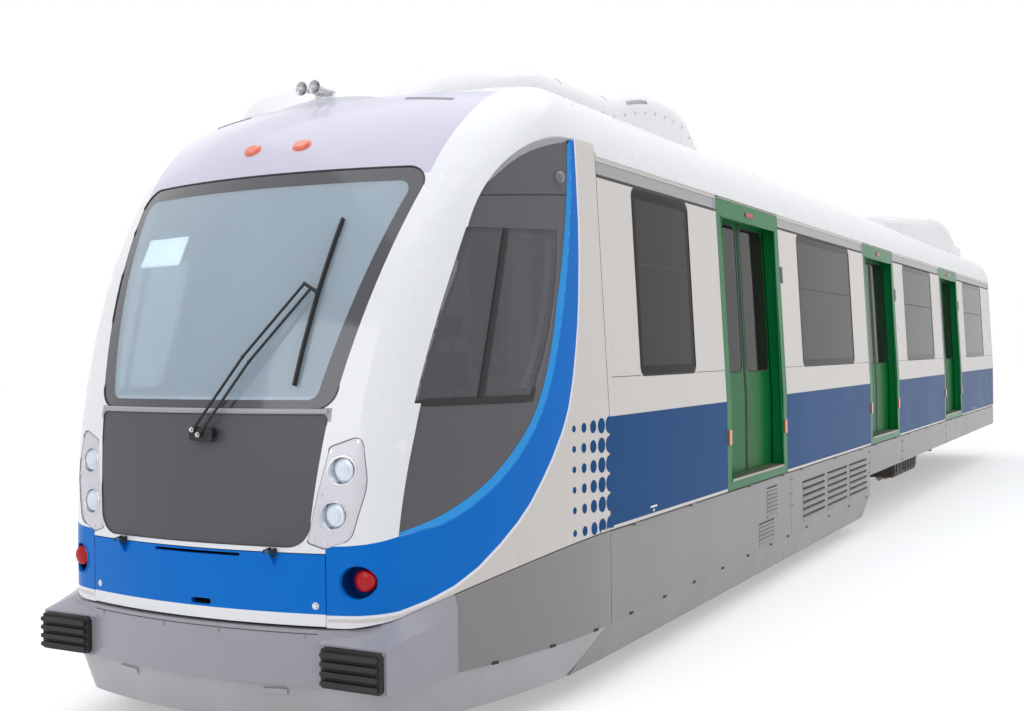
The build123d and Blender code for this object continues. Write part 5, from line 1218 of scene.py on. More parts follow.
# Cab side
@dataclass
class CabSideGlass:
    """Side glass of the cab, with its frames, divider and rail."""

    corners: tuple[tuple[float, float], ...] = ((0.348, 1.690), (0.706, 2.565), (1.450, 2.600), (1.121, 1.685))

    def build(self) -> None:
        """Builds the frames on both sides."""
        dress_node("cab_side_windows", CAB_TINT)
        probe = SkinProbe("cab_mask", "cab_side_windows")
        fore_foot, fore_top, rear_top, rear_foot = self.corners
        edge = [*arc(fore_foot, (0.500, 2.110), fore_top, 10), *arc(fore_top, (1.08, 2.583), rear_top, 8)[1:],
                *arc(rear_top, (1.316, 2.050), rear_foot, 10)[1:], *arc(rear_foot, (0.74, 1.688), fore_foot, 8)[1:-1]]
        table = (
            ("side_glass_frames", edge, bead(0.040, 0.010), True),
            ("side_glass_dividers", [(0.750 + 0.243 * k / 8, 1.700 + 0.870 * k / 8) for k in range(9)],
             bead(0.044, 0.012), False),
            ("side_glass_rails", [(0.832 + 0.735 * k / 10, 2.740 + 0.070 * k / 10) for k in range(11)],
             bead(0.007, 0.003), False),
        )
        for name, line, profile, loop in table:
            shape = Shape()
            for side in SIDES:
                path, normals = probe.side_line(line, side)
                shape.sweep(path, normals, profile, loop)
            shape.build(name, BLACK)
        domes = Shape()
        for side in SIDES:
            place, normal = probe.side(1.491, 2.900, side)
            domes.lathe(place, normal, [(0.0, 0.040), (0.008, 0.038), (0.020, 0.030), (0.030, 0.016), (0.034, 0.0)], 24)
        domes.build("side_cameras", DOME)


# Body sides
@dataclass
class BodySides:
    """Side walls, portals and leaves, with bands, seams, seals, lamps and steps."""

    portals: tuple[Pair, ...] = ((4.040, 5.620), (8.840, 10.420), (13.650, 15.230))
    band: Pair = (0.910, 1.550)
    grey_band: Pair = (2.948, 3.046)
    joint: float = 1.778
    jamb: float = 0.105
    end: float = 18.810

    def __post_init__(self) -> None:
        """Finds the windows from the panes."""
        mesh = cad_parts["side_windows"].data
        xs = sorted({round(CAR.nose_x - v.co.x, 3) for v in mesh.vertices if v.co.y > 0})
        groups: list[list[float]] = [[xs[0]]]
        for x in xs[1:]:
            if x - groups[-1][-1] > 0.9 and len(groups) * 2 <= 8 and not self._same_pane(mesh, groups[-1][-1], x):
                groups.append([x])
            else:
                groups[-1].append(x)
        self.windows = [(g[0] + 0.012, g[-1] - 0.012) for g in groups]
        LOG.info("windows %s", self.windows)

    @staticmethod
    def _same_pane(mesh: bpy.types.Mesh, a: float, b: float) -> bool:
        """Whether two places along the car are spanned by one face of the panes."""
        middle = CAR.nose_x - (a + b) / 2
        for p in mesh.polygons:
            xs = [mesh.vertices[v].co.x for v in p.vertices]
            if min(xs) < middle < max(xs):
                return True
        return False

    def build(self) -> None:
        """Builds both sides."""
        panels = [SEAM] + [e for p in self.portals for e in p] + [self.end]
        self.panels = [(panels[k], panels[k + 1]) for k in range(0, len(panels), 2)]
        for side, word in ((1, "left"), (-1, "right")):
            self._wall(side, word)
            dress_node(f"door_portals_{word}", GREEN)
        self.probe = SkinProbe("side_wall_left", "side_wall_right", "door_portals_left", "door_portals_right",
                               "cab_mask", "roof", "rear_end_wall")
        self._glass()
        self._joints()
        self._portals()
        self._leaves()

    def _wall(self, side: int, word: str) -> None:
        """One wall with its blue and grey bands."""
        skin = SkinCutter(f"side_wall_{word}")
        outer = lambda c: abs(c.y) > 1.30
        # The last cut bounds the painted shadow line at the foot of the grey band.
        for h in (*self.band, *self.grey_band, self.grey_band[0] + 0.022):
            skin.cut([(1.5, h), (19.0, h)], "Y", outer)

        def rule(c: Vector, n: Vector) -> int:
            """Finish of a face: white and blue darkened as painted shade, grey band, lining or the painted shadow line
            under the grey band.
            """
            h = c.z - RAIL
            if abs(c.y) < 1.27 or (n.y * side < 0.3 and abs(c.y) < 1.36):
                return 3
            if self.band[0] < h < self.band[1]:
                return 1
            if self.grey_band[0] < h < self.grey_band[1] and n.y * side > 0.3:
                # A dark strip at the foot of the grey band is painted shadow.
                return 4 if h < self.grey_band[0] + 0.022 else 2
            return 0

        # The wall's white and band blue are both darkened as painted shade.
        skin.build(f"wall_{word}", [SHADED_SIDE_WHITE, SHADED_BAND_BLUE, BAND_GREY, LAMINATE, SEALANT_AND_SHADOW], rule)

    def _glass(self) -> None:
        """Saloon glass with its seals and vent lines."""
        dress_node("side_windows", TINT)
        seals, lines, frames = Shape(), Shape(), Shape()
        for side in SIDES:
            out = CAR.out(side)
            for fore, rear in self.windows:
                outline = frame_box((fore - 0.016, 1.774), (rear + 0.016, 2.946), 0.055)
                path = [CAR.wall(s, h, side, 0.0015) for s, h in outline]
                seals.sweep(path, [out] * len(path), bead(0.007, 0.003), loop=True)
                inner = frame_box((fore + 0.020, 1.810), (rear - 0.020, 2.910), 0.04)
                path = [CAR.wall(s, h, side, 0.0035) for s, h in inner]
                frames.sweep(path, [out] * len(path), bead(0.060, 0.0012), loop=True)
                path = [CAR.wall(s, 2.47, side, 0.003) for s in (fore + 0.03, rear - 0.03)]
                lines.sweep(path, [out, out], bead(0.010, 0.004))
        seals.build("window_seals", BLACK)
        frames.build("window_borders", BORDER)
        lines.build("window_vent_lines", SEALANT_AND_SHADOW)

    def _joints(self) -> None:
        """Sealed joints between the body panels."""
        shape = Shape()
        for side in SIDES:
            out = CAR.out(side)
            for number, (fore, rear) in enumerate(self.panels):
                start = fore + (0.06 if number == 0 else 0.002)
                spans = [(start, self.windows[number][0] - 0.02), (self.windows[number][1] + 0.02, rear - 0.002)]
                for a, b in spans:
                    shape.sweep([CAR.wall(a, self.joint, side), CAR.wall(b, self.joint, side)], [out, out],
                                bead(0.004, 0.0012))
                for s in (fore, rear):
                    path = [CAR.wall(s, h, side) for h in (0.895, 1.55, 2.0, 2.5, 3.068)]
                    shape.sweep(path, [out] * 5, bead(0.005, 0.0012))
            path, normals = self.probe.side_line([(SEAM, h / 100) for h in range(90, 312, 6)], side)
            shape.sweep(path, normals, bead(0.004, 0.0012))
        shape.build("panel_joints", SEALANT_AND_SHADOW)
        roof = Shape()
        for s in (SEAM, 5.66, 8.80, 12.20, 15.40, self.end):
            spots = [self.probe.top(s, y / 20 * 1.22) for y in range(-20, 21)]
            roof.sweep([p for p, _ in spots], [n for _, n in spots], bead(0.006, 0.0015))
        roof.build("roof_joints", SEALANT_AND_SHADOW)

    def _portals(self) -> None:
        """Door surrounds: lips, lamps, plates and silver steps."""
        lips, steps, ambers, reds, plates, rails = (Shape() for _ in range(6))
        lip = [(-0.012, -0.004), (0.004, -0.004), (0.004, 0.005), (-0.004, 0.007), (-0.012, 0.003)]
        ribs = []
        for side in SIDES:
            out = CAR.out(side)
            for fore, rear in self.portals:
                a, b, middle = fore + self.jamb, rear - self.jamb, (fore + rear) / 2
                path = [CAR.wall(s, h, side, 0.001) for s, h in ((a, 0.955), (a, 2.926), (b, 2.926), (b, 0.955))]
                lips.sweep(path, [out] * 4, lip)
                low, high = sorted((side * 1.290, side * 1.434))
                steps.block(CAR.at(b - 0.004, low, 0.9505), CAR.at(a + 0.004, high, 0.968))
                for k in range(46):
                    s = a + 0.02 + k * (b - a - 0.04) / 45
                    ribs.append((CAR.at(s, side * 1.37, 0.9695), UP, AHEAD))
                for s in (fore + 0.058, rear - 0.058):
                    ambers.side_plate(side, (s - 0.030, 1.225), (s + 0.030, 1.340), 0.012, 0.010, 0.012)
                reds.side_plate(side, (middle - 0.09, 2.972), (middle + 0.09, 3.010), 0.012, 0.008, 0.010)
                plates.side_plate(side, (rear + 0.006, 2.490), (rear + 0.075, 2.630), 0.008, 0.003, 0.004)
                rails.sweep([CAR.wall(s, 3.062, side) for s in (fore + 0.02, rear - 0.02)], [out, out],
                            bead(0.010, 0.006))
        lips.build("portal_lips", GREEN)
        steps.build("door_steps", SILVER, bevel=0.003)
        BLOCKS.scatter("step_ribs", ribs, (0.006, 0.11, 0.003), SILVER)
        ambers.build("portal_lamps", AMBER, bevel=0.003)
        reds.build("header_lamps", RED, bevel=0.003)
        plates.build("blank_plates", PANEL, bevel=0.001)
        rails.build("header_rails", SILVER)

    def _leaves(self) -> None:
        """Door leaves with sunk glass and closing rubbers."""
        for word, side in (("left", 1), ("right", -1)):
            out = CAR.out(side)
            for number, (fore, rear) in enumerate(self.portals, 1):
                middle = (fore + rear) / 2
                table = (("fore", fore + 0.085, middle - 0.003, middle - 0.003),
                         ("rear", middle + 0.003, rear - 0.085, middle + 0.003))
                for end, a, b, edge in table:
                    name = f"door_{word}_{number}_{end}"
                    dress_node(name, LEAF_GREEN)
                    pane = frame_box((a + 0.0605, 1.7605), (b - 0.0605, 2.8995), 0.070)
                    glass = Shape()
                    glass.plate([CAR.wall(s, h, side, 0.1062) for s, h in pane], out, 0.0035)
                    glass.plate([CAR.wall(s, h, side, 0.1388) for s, h in pane], -out, 0.0035)
                    glass.build(f"glass_{word}_{number}_{end}", TINT, name)
                    step = -0.011 if end == "fore" else 0.011
                    trim = Shape()
                    path = [CAR.wall(edge + step, h, side, 0.1055) for h in (0.962, 1.55, 2.2, 2.96)]
                    trim.sweep(path, [out] * 4, [(-0.011, -0.003), (0.011, -0.003), (0.011, 0.003), (-0.011, 0.003)])
                    path = [CAR.wall(s, h, side, 0.1055) for s, h in frame_box((a + 0.056, 1.756), (b - 0.056, 2.904),
                                                                              0.074)]
                    trim.sweep(path, [out] * len(path), bead(0.010, 0.004), loop=True)
                    trim.build(f"rubber_{word}_{number}_{end}", BLACK, name)


# Skirts and roof
@dataclass
class Skirts:
    """Skirts with their louvre lips, hinges, clips and jacking marks."""

    louvres: tuple[tuple[float, float, int, int, float, float, float], ...] = (
        (7.345, 0.560, 3, 6, 0.877, 0.060, 0.780), (5.155, 0.670, 1, 7, 0.4, 0.032, 0.290),
        (4.995, 0.440, 1, 5, 0.4, 0.032, 0.410))
    hinges: tuple[float, ...] = (2.3, 3.3, 4.6, 5.5, 6.1, 7.3, 8.4, 9.1, 10.2, 11.0, 12.2, 13.3, 14.2, 15.6, 17.0, 18.4)
    clips: tuple[float, ...] = (0.8, 1.25, 1.7, 2.2, 2.75, 3.3, 3.9, 4.5, 5.1, 5.6, 6.2, 7.0, 7.8, 8.6)

    def build(self) -> None:
        """Builds the fittings of both sides."""
        # The skirts take the bumper grey darkened as painted shade.
        dress_node("skirts_left", SHADED_SKIRT_GREY)
        dress_node("skirts_right", SHADED_SKIRT_GREY)
        probe = SkinProbe("skirts_left", "skirts_right", "bumper", "apron")
        hinges, clips, screws, marks = [], [], [], Shape()
        for side in SIDES:
            self._louvre_lips(side)
            for s in self.hinges:
                hinges.append((CAR.at(s, side * 1.424, 0.884), Vector((0, side * 0.4, 1)).normalized(), AHEAD))
            for s in self.clips:
                clips.append((*probe.side(s, 0.352 if s > 1.9 else 0.350, side, 0.001), AHEAD))
            for s in (5.72, 8.75, 10.55, 13.71):
                for h in (0.60, 0.70, 0.82):
                    screws += [(*probe.side(s + step, h, side, 0.001), UP) for step in (-0.03, 0.03)]
            for s in (2.53, 16.4):
                for outline in (frame_box((s, 0.945), (s + 0.11, 0.957), 0.002),
                                [(s + 0.055, 0.940), (s + 0.040, 0.920), (s + 0.070, 0.920)]):
                    marks.plate([CAR.wall(a, h, side, -0.0012) for a, h in outline], Vector((0, side, 0)), 0.0012)
        BLOCKS.scatter("skirt_hinges", hinges, (0.07, 0.034, 0.010), SHADED_SKIRT_GREY)
        BLOCKS.scatter("valance_clips", clips, (0.045, 0.014, 0.008), BLACK)
        SCREWS.scatter("skirt_screws", screws, (0.008, 0.008, 0.004), SHADED_SKIRT_GREY)
        marks.build("jacking_marks", WHITE)

    def _louvre_lips(self, side: int) -> None:
        """Lips over the louvres of one side, a piece for each length."""
        out = Vector((0, side, 0.55)).normalized()
        groups: dict[float, list[tuple[Vector, Vector, Vector]]] = {}
        for middle, h, columns, rows, pitch, step, length in self.louvres:
            for column in range(columns):
                for row in range(rows):
                    s = middle + (column - (columns - 1) / 2) * pitch
                    z = h + (row - (rows - 1) / 2) * step + step * 0.30
                    groups.setdefault(length, []).append((CAR.at(s, side * 1.433, z), out, AHEAD))
        for length in sorted(groups):
            BLOCKS.scatter(f"louvre_lips_{'l' if side > 0 else 'r'}_{round(length * 1000)}", groups[length],
                           (length, 0.014, 0.004), SHADED_SKIRT_GREY)


@dataclass
class RoofGear:
    """Roof, fairings and horns with their grilles, bolts and feet."""

    fore: tuple[tuple[float, float, float], ...] = (
        (1.160, 0.600, 3.330), (1.290, 0.760, 3.462), (1.400, 0.850, 3.520), (1.550, 0.905, 3.562),
        (1.860, 0.940, 3.622), (2.100, 0.955, 3.650), (2.600, 0.963, 3.655), (3.080, 0.965, 3.668),
        (3.380, 0.965, 3.734), (3.650, 0.965, 3.787), (3.950, 0.965, 3.817), (4.150, 0.965, 3.821),
        (4.360, 0.960, 3.811), (4.540, 0.955, 3.783), (4.700, 0.945, 3.706), (4.860, 0.935, 3.622),
        (5.020, 0.925, 3.540), (5.180, 0.915, 3.480))
    camber: float = 0.095
    shoulder: float = 0.110

    def _fore_at(self, s: float) -> tuple[float, float, float]:
        """Half width and height of the front fairing's edge at a distance, smoothed between its stations."""
        table = self.fore
        k = max(0, min(len(table) - 2, sum(row[0] <= s for row in table) - 1))
        a, b = table[k], table[k + 1]
        t = max(0.0, min(1.0, (s - a[0]) / (b[0] - a[0])))

        def slope(j: int, column: int) -> float:
            """Slope at a station that lets no hump rise between stations."""
            if j <= 0 or j >= len(table) - 1:
                return 0.0
            left = (table[j][column] - table[j - 1][column]) / (table[j][0] - table[j - 1][0])
            right = (table[j + 1][column] - table[j][column]) / (table[j + 1][0] - table[j][0])
            return 0.0 if left * right <= 0 else 2 * left * right / (left + right)

        values = []
        for column in (1, 2):
            run = b[0] - a[0]
            values.append((2 * t ** 3 - 3 * t ** 2 + 1) * a[column] + (t ** 3 - 2 * t ** 2 + t) * run * slope(k, column)
                          + (3 * t ** 2 - 2 * t ** 3) * b[column] + (t ** 3 - t ** 2) * run * slope(k + 1, column))
        return s, values[0], values[1]

    def _top_line(self, s: float) -> list[Vector]:
        """Top of the front fairing across the car, from one side to the other, its shoulders rounded."""
        _, half, edge = self._fore_at(s)
        radius = self.shoulder
        line = []
        for k in range(-16, 17):
            part = abs(k) / 16
            y = (half - radius) * part / 0.6 if part < 0.6 else \
                half - radius + radius * math.sin((part - 0.6) / 0.4 * math.pi / 2)
            drop = radius - math.sqrt(max(0.0, radius ** 2 - max(0.0, y - half + radius) ** 2))
            line.append(CAR.at(s, math.copysign(y, k), edge + self.camber * (1 - (y / half) ** 2) - drop))
        return line

    def _front_fairing(self, skin: SkinProbe) -> None:
        """Front fairing: low over the cab, rising to a second swell behind, sunk into the roof's skin."""
        rings = []
        for k in range(68):
            s = self.fore[0][0] + k * 0.06
            top = self._top_line(s)
            foot = []
            for p in reversed(top):
                level = skin.top(s, p.y)[0].z - 0.02
                foot.append(Vector((p.x, p.y, min(level, p.z - 0.004))))
            rings.append(top + foot)
        Shape().rings(rings).build("front_fairing", WHITE, angle=35, stands_for=["front_roof_pod"])

    def build(self) -> None:
        """Builds the roof fittings."""
        dress_node("roof", WHITE)
        dress_node("rear_roof_pod", WHITE)
        dress_node("air_horns", CHROME)
        skin = SkinProbe("roof", "cab_mask")
        self._front_fairing(skin)
        probe = SkinProbe("roof", "rear_roof_pod", "cab_mask")
        slats, bolts, seams = [], [], Shape()
        for side in SIDES:
            for k in range(20):
                slats.append((*skin.top(1.130 + k * 0.002, side * (0.56 + k * 0.0145), 0.0015), AHEAD))
            for k in range(14):
                bolts.append((*probe.side(13.2 + k * 0.32, 3.47, side, 0.001), AHEAD))
                s, half, edge = self._fore_at(2.15 + k * 0.19)
                bolts.append((CAR.at(s, side * (half + 0.001), edge - 0.135), Vector((0, side, 0)), AHEAD))
            for k in range(16):
                s, half, edge = self._fore_at(3.36 + k * 0.024)
                slats.append((CAR.at(s, side * (half - 0.012), edge - 0.055), Vector((0, side, 0.6)).normalized(), UP))
        for s in (13.6, 15.0, 16.4, 17.5):
            spots = [probe.top(s, y / 16 * 0.9) for y in range(-16, 17)]
            seams.sweep([p for p, _ in spots], [n for _, n in spots], bead(0.006, 0.002))
        for s in (2.35, 3.05, 4.75):
            top = self._top_line(s)[3:-3]
            seams.sweep(top, [UP] * len(top), bead(0.006, 0.002))
        BLOCKS.scatter("fairing_grille", slats, (0.030, 0.008, 0.004), BAND_GREY)
        BOLTS.scatter("fairing_bolts", bolts, (0.009, 0.009, 0.006), CHROME)
        seams.build("fairing_seams", SEALANT_AND_SHADOW)


# Below the floor
@dataclass
class RunningGear:
    """Bogies, wheels and the equipment below the floor."""

    places: Pair = (3.700, 14.950)
    base: float = 2.000
    wheel: float = 0.380
    beam: float = 0.770

    def build(self) -> None:
        """Dresses the nodes and adds springs, bolts and pipes."""
        table = {"underframe": CHASSIS, "couplers": CAST, "engine": CAST, "fuel_tank": CHASSIS,
                 "battery_boxes": CHASSIS, "air_reservoirs": CHASSIS, "bogie_frame_front": CHASSIS,
                 "bogie_frame_rear": CHASSIS}
        for node, finish in table.items():
            dress_node(node, finish)
        for number in range(1, 5):
            dress_node(f"wheelset_{number}", STEEL)
        for place, word in zip(self.places, ("front", "rear")):
            self._bogie(place, word)
        pipes, clips = Shape(), []
        for side in SIDES:
            for h in (0.745, 0.705):
                pipes.tube([CAR.at(s, side * 0.985, h) for s in (1.2, 5.0, 10.0, 15.0, 18.6)], 0.012, 8)
            clips += [(CAR.at(1.5 + k * 0.74, side * 0.992, 0.725), Vector((0, -side, 0)), AHEAD) for k in range(24)]
        pipes.build("air_pipes", CAST)
        BLOCKS.scatter("pipe_clips", clips, (0.03, 0.08, 0.020), CHASSIS)
        bolts = []
        for side in SIDES:
            out = Vector((0, side, 0))
            bolts += [(CAR.at(s, side * 1.2505, h), out, UP) for s in (11.0, 11.3, 11.6, 11.9, 12.2, 12.35)
                      for h in (0.40, 0.62)]
            bolts += [(CAR.at(6.35 + k * 0.18, side * 0.5605, h), out, UP) for k in range(12) for h in (0.34, 0.78)]
        BOLTS.scatter("equipment_bolts", bolts, (0.012, 0.012, 0.009), CAST)

    def _bogie(self, place: float, word: str) -> None:
        """Coil springs and bolts of one bogie."""
        coils, bolts = Shape(), []
        turn, rounds, radius, rise = 14, 6, 0.066, 0.068
        for side in SIDES:
            out = Vector((0, side, 0))
            for axle in (-1, 1):
                middle = place + axle * self.base / 2
                for step in (-0.175, 0.175):
                    path = []
                    for k in range(rounds * turn + 1):
                        a = math.tau * k / turn
                        path.append(CAR.at(middle + step + radius * math.cos(a), side * self.beam
                                           + radius * math.sin(a), self.wheel + 0.036 + rise * k / (rounds * turn)))
                    coils.tube(path, 0.0075, 6)
                bolts += [(CAR.at(s, side * (self.beam + 0.071), h), out, UP)
                          for s, h in oval(middle, self.wheel, 0.090, 0.090, 6)]
            bolts += [(CAR.at(place + k * 0.13, side * (self.beam + 0.0755), self.wheel + 0.03), out, UP)
                      for k in range(-2, 3)]
        coils.build(f"coil_springs_{word}", CAST, f"bogie_{word}")
        BOLTS.scatter(f"bogie_bolts_{word}", bolts, (0.011, 0.011, 0.010), CAST, f"bogie_{word}")


# Insides and rear
@dataclass
class Insides:
    """Cab and saloon fittings that show through the glass, and the rear end."""

    pads: tuple[tuple[str, float, float, float, float, float, float, float], ...] = (
        ("seat_pad", 1.650, 1.225, 0.200, 1.330, 1.425, 0.0, 0.012),
        ("back_pad", 1.700, 1.625, 0.200, 1.430, 1.950, -0.16, 0.010),
        ("head_pad", 1.790, 1.725, 0.115, 2.010, 2.160, -0.16, 0.008))
    handrail: tuple[Pair, ...] = ((0.01, 1.15), (-0.035, 1.16), (-0.045, 1.20), (-0.045, 1.95), (-0.035, 1.99),
                                  (0.01, 2.0))

    def build(self) -> None:
        """Builds the fittings."""
        # The rear end wall takes the white darkened as painted shade.
        for node, finish in {"cab_desk": CAB_GREY, "cab_bulkhead": LAMINATE, "cab_door": LAMINATE,
                             "passenger_seats": SEAT, "grab_poles": POLE, "rear_end_wall": SHADED_SIDE_WHITE,
                             "gangway_bellows": BELLOWS}.items():
            dress_node(node, finish)
        self._seat()
        self._desk()
        self._saloon()

    def _pad(self, name: str, low: Vector, high: Vector, tilt: float, crown: float) -> None:
        """One crowned cushion, puffed by cloth pressure inside its box.

        Args:
            name: Name of the cushion.
            low: Lowest corner.
            high: Highest corner.
            tilt: Backward lean in radians.
            crown: How far its faces may swell.
        """
        middle, size = (low + high) / 2, high - low
        work = bmesh.new()
        bmesh.ops.create_cube(work, size=1.0)
        bmesh.ops.scale(work, vec=size - Vector((crown, crown, crown)), verts=work.verts)
        bmesh.ops.bevel(work, geom=list(work.edges), offset=0.022, segments=3, profile=0.5, affect="EDGES")
        mesh = bpy.data.meshes.new(name)
        work.to_mesh(mesh)
        work.free()
        pad = bpy.data.objects.new(name, mesh)
        bpy.context.scene.collection.objects.link(pad)
        remesh = pad.modifiers.new("remesh", "REMESH")
        remesh.mode = "VOXEL"
        remesh.voxel_size = 0.008
        graph = bpy.context.evaluated_depsgraph_get()
        pad.data = bpy.data.meshes.new_from_object(pad.evaluated_get(graph))
        pad.modifiers.clear()
        rest = [v.co.copy() for v in pad.data.vertices]
        cloth = pad.modifiers.new("cloth", "CLOTH")
        cloth.settings.use_pressure = True
        cloth.settings.uniform_pressure_force = 4.0
        cloth.settings.effector_weights.gravity = 0.0
        cloth.settings.quality = 4
        for step in range(1, 21):
            bpy.context.scene.frame_set(step)
        graph = bpy.context.evaluated_depsgraph_get()
        moved = [v.co.copy() for v in pad.evaluated_get(graph).data.vertices]
        bpy.context.scene.frame_set(1)
        pad.modifiers.clear()
        for vertex, start, end in zip(pad.data.vertices, rest, moved):
            shift = end - start
            if shift.length > crown:
                shift = shift.normalized() * crown
            vertex.co = start + shift
        turn = Matrix.Translation(middle) @ Matrix.Rotation(tilt, 4, "Y")
        pad.data.transform(turn)
        mesh = pad.data
        bpy.data.objects.remove(pad)
        mesh.polygons.foreach_set("use_smooth", [True] * len(mesh.polygons))
        obj = place_piece(name, mesh, [FABRIC])
        finer = obj.modifiers.new("finer", "SUBSURF")
        finer.levels = finer.render_levels = 1

    def _seat(self) -> None:
        """Driver's seat: three pads on a shell and a pedestal, which stand for its CAD solid."""
        y = 0.420
        for name, s, ahead, half, low, high, tilt, crown in self.pads:
            self._pad(name, CAR.at(s, y - half, low), CAR.at(ahead, y + half, high), tilt, crown)
        parts = Shape().lathe(CAR.at(1.450, y, 0.950), UP, [(0, 0), (0, 0.19), (0.02, 0.185), (0.03, 0.10),
                              (0.05, 0.062), (0.33, 0.055), (0.36, 0.12), (0.375, 0.12), (0.375, 0)], 28)
        for step in (-0.05, 0.05):
            parts.tube([CAR.at(1.740, y + step, 1.93), CAR.at(1.765, y + step, 2.06)], 0.008, 8)
        parts.build("seat_frame", CAB_GREY, stands_for=["driver_seat"])

    def _desk(self) -> None:
        """Instruments, screens and levers on the desk."""
        probe = SkinProbe("cab_desk")
        screens, levers = Shape(), Shape()
        knobs = [(*probe.top(0.70 + row * 0.055, -0.62 + k * 0.07, 0.0), LEFT) for row in range(3) for k in range(9)]
        SCREWS.scatter("desk_buttons", knobs, (0.012, 0.012, 0.014), RED)
        for y in (0.22, 0.55, -0.30):
            place, normal = probe.top(0.60, y, 0.0)
            along = LEFT.cross(normal)
            outline = [place + LEFT * a + along * b + normal * 0.012
                       for a, b in frame_box((-0.11, -0.045), (0.11, 0.045), 0.01)]
            screens.plate(outline, normal, 0.018)
        screens.build("desk_screens", SCREEN_DARK, bevel=0.002)
        for y in (0.16, 0.72):
            place, _ = probe.top(0.80, y, 0.0)
            levers.lathe(place - UP * 0.004, Vector((-0.15, 0, 1)), [(0, 0.030), (0.012, 0.028), (0.016, 0.009),
                         (0.085, 0.008), (0.09, 0.018), (0.105, 0.021), (0.118, 0.014), (0.122, 0)], 20)
        levers.build("desk_levers", BLACK)

    def _saloon(self) -> None:
        """Ceiling lights, floor covering and the rear handrails with their feet."""
        cover = Shape().block(CAR.at(18.75, -1.235, 0.9505), CAR.at(2.02, 1.235, 0.954))
        cover.build("floor_covering", FLOORING)
        lights, rails, feet = Shape(), Shape(), []
        for side in SIDES:
            for k in range(11):
                lights.block(CAR.at(3.55 + k * 1.45, side * 0.50 - 0.06, 3.045),
                             CAR.at(2.45 + k * 1.45, side * 0.50 + 0.06, 3.068))
        lights.build("ceiling_lights", LIGHT_STRIP, bevel=0.006)
        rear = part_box("rear_end_wall")[0].x
        for side in SIDES:
            for y in (side * 0.95, side * 1.22):
                rails.tube([Vector((rear + out, y, z)) for out, z in self.handrail], 0.014, 10)
                feet += [(Vector((rear - 0.002, y, z)), -AHEAD, UP) for z in (1.155, 1.995)]
        rails.build("rear_handrails", POLE)
        SCREWS.scatter("handrail_feet", feet, (0.024, 0.024, 0.006), POLE)


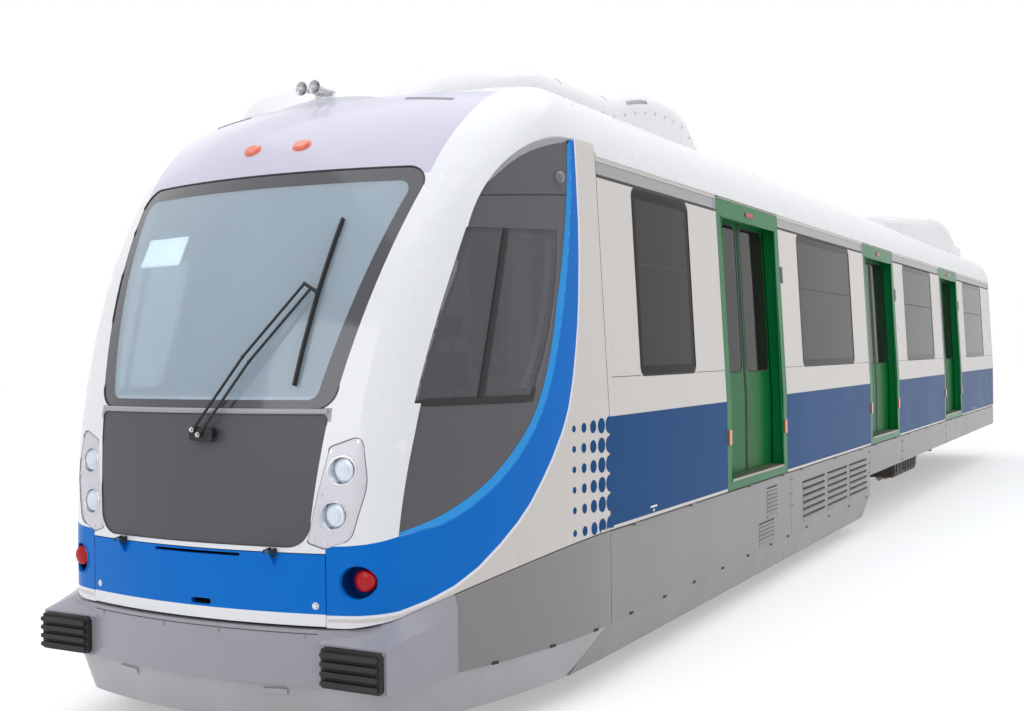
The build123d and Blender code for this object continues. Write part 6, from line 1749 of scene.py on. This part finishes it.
# Studio
@dataclass
class Studio:
    """Floor, backdrop, lamps, world and the camera."""

    eye: Vector = field(default_factory=lambda: CAR.at(-4.702, 4.348, 1.929))
    forward: Vector = field(default_factory=lambda: Vector((-0.8806, -0.4738, -0.0024)).normalized())
    roll: float = -0.0118
    focal: float = 1238.4
    low_sky: float = 0.22
    high_sky: float = 0.95
    aim: Vector = field(default_factory=lambda: Vector((5.0, 0.0, 1.8)))
    lamps: tuple[tuple[str, tuple[float, float, float], float, float], ...] = (
        ("overhead", (6.0, 1.0, 11.0), 14.0, 400.0), ("front", (21.0, -2.0, 6.5), 7.0, 260.0),
        ("platform_side", (4.0, 13.0, 6.0), 12.0, 120.0), ("far_side", (-2.0, -14.0, 7.0), 12.0, 160.0))

    def build(self) -> None:
        """Sets up the studio."""
        scene = bpy.context.scene
        scene.view_settings.view_transform = "Standard"
        floor = bpy.data.meshes.new("studio_floor")
        floor.from_pydata([(-60, -60, 0), (60, -60, 0), (60, 60, 0), (-60, 60, 0)], [], [(0, 1, 2, 3)])
        stage = bpy.data.objects.new("studio_floor", floor)
        scene.collection.objects.link(stage)
        floor.materials.append(self._pale("studio_floor", 0.80))
        self._sky(scene)
        for name, place, size, energy in self.lamps:
            lamp = bpy.data.lights.new(name, "AREA")
            lamp.size = size
            lamp.energy = energy
            obj = bpy.data.objects.new(name, lamp)
            scene.collection.objects.link(obj)
            obj.location = place
            obj.rotation_euler = (self.aim - Vector(place)).to_track_quat("-Z", "Y").to_euler()
        self._camera()

    def _sky(self, scene: bpy.types.Scene) -> None:
        """Soft sky that lights the car, white where it is seen."""
        world = bpy.data.worlds.new("soft_sky")
        scene.world = world
        world.use_nodes = True
        tree = world.node_tree
        place = add_node(tree, "ShaderNodeTexCoord").outputs["Generated"]
        split = add_node(tree, "ShaderNodeSeparateXYZ", {0: place})
        rise = add_node(tree, "ShaderNodeMapRange", {"From Min": -0.05, "From Max": 0.85, "To Min": self.low_sky,
                                                     "To Max": self.high_sky, "Value": split.outputs["Z"]},
                        interpolation_type="SMOOTHSTEP")
        sky = tree.nodes["Background"]
        feed(sky, {"Color": (0.93, 0.96, 1.0, 1), "Strength": rise.outputs[0]})
        white = add_node(tree, "ShaderNodeBackground", {"Color": (1, 1, 1, 1), "Strength": 1.0})
        mix = add_node(tree, "ShaderNodeMixShader", {0: self._seen(tree), 1: sky.outputs[0], 2: white.outputs[0]})
        feed(tree.nodes["World Output"], {"Surface": mix.outputs[0]})

    @staticmethod
    def _seen(tree: bpy.types.NodeTree) -> bpy.types.NodeSocket:
        """Socket that is 1 for rays that are seen: straight, by reflection or through glass."""
        path = add_node(tree, "ShaderNodeLightPath")
        total = path.outputs["Is Camera Ray"]
        for label in ("Is Glossy Ray", "Is Transmission Ray"):
            total = add_node(tree, "ShaderNodeMath", {0: total, 1: path.outputs[label]},
                             operation="MAXIMUM").outputs[0]
        return total

    def _pale(self, name: str, grey: float) -> bpy.types.Material:
        """Plain pale material of the floor, brighter for the rays that are seen."""
        material = bpy.data.materials.new(name)
        material.use_nodes = True
        tree = material.node_tree
        shader = tree.nodes["Principled BSDF"]
        feed(shader, {"Base Color": (grey, grey, grey, 1), "Roughness": 0.9})
        off, glow = (add_node(tree, "ShaderNodeEmission", {"Strength": strength}) for strength in (0.0, 0.40))
        mix = add_node(tree, "ShaderNodeMixShader", {0: self._seen(tree), 1: off.outputs[0], 2: glow.outputs[0]})
        both = add_node(tree, "ShaderNodeAddShader", {0: shader.outputs[0], 1: mix.outputs[0]})
        feed(tree.nodes["Material Output"], {"Surface": both.outputs[0]})
        return material

    def _camera(self) -> None:
        """Camera at the photograph's place and angle."""
        forward = self.forward
        right = forward.cross(Vector((0, 0, 1))).normalized()
        up = right.cross(forward)
        turned_right = right * math.cos(self.roll) + up * math.sin(self.roll)
        turned_up = up * math.cos(self.roll) - right * math.sin(self.roll)
        lens = bpy.data.cameras.new("photo_camera")
        lens.sensor_width = 36.0
        lens.lens = self.focal / 1024 * 36.0
        camera = bpy.data.objects.new("photo_camera", lens)
        bpy.context.scene.collection.objects.link(camera)
        turn = Matrix((turned_right, turned_up, -forward)).transposed().to_4x4()
        camera.matrix_world = Matrix.Translation(self.eye) @ turn
        bpy.context.scene.camera = camera


def main() -> None:
    """Builds each sub-assembly in order."""
    logging.basicConfig(level=logging.INFO, format="%(message)s")
    for assembly in (Studio(), NoseLivery(), NoseFittings(), CabSideGlass(), BodySides(), Skirts(), RoofGear(),
                     RunningGear(), Insides()):
        LOG.info("building %s", type(assembly).__name__)
        assembly.build()


if __name__ == "__main__":
    main()
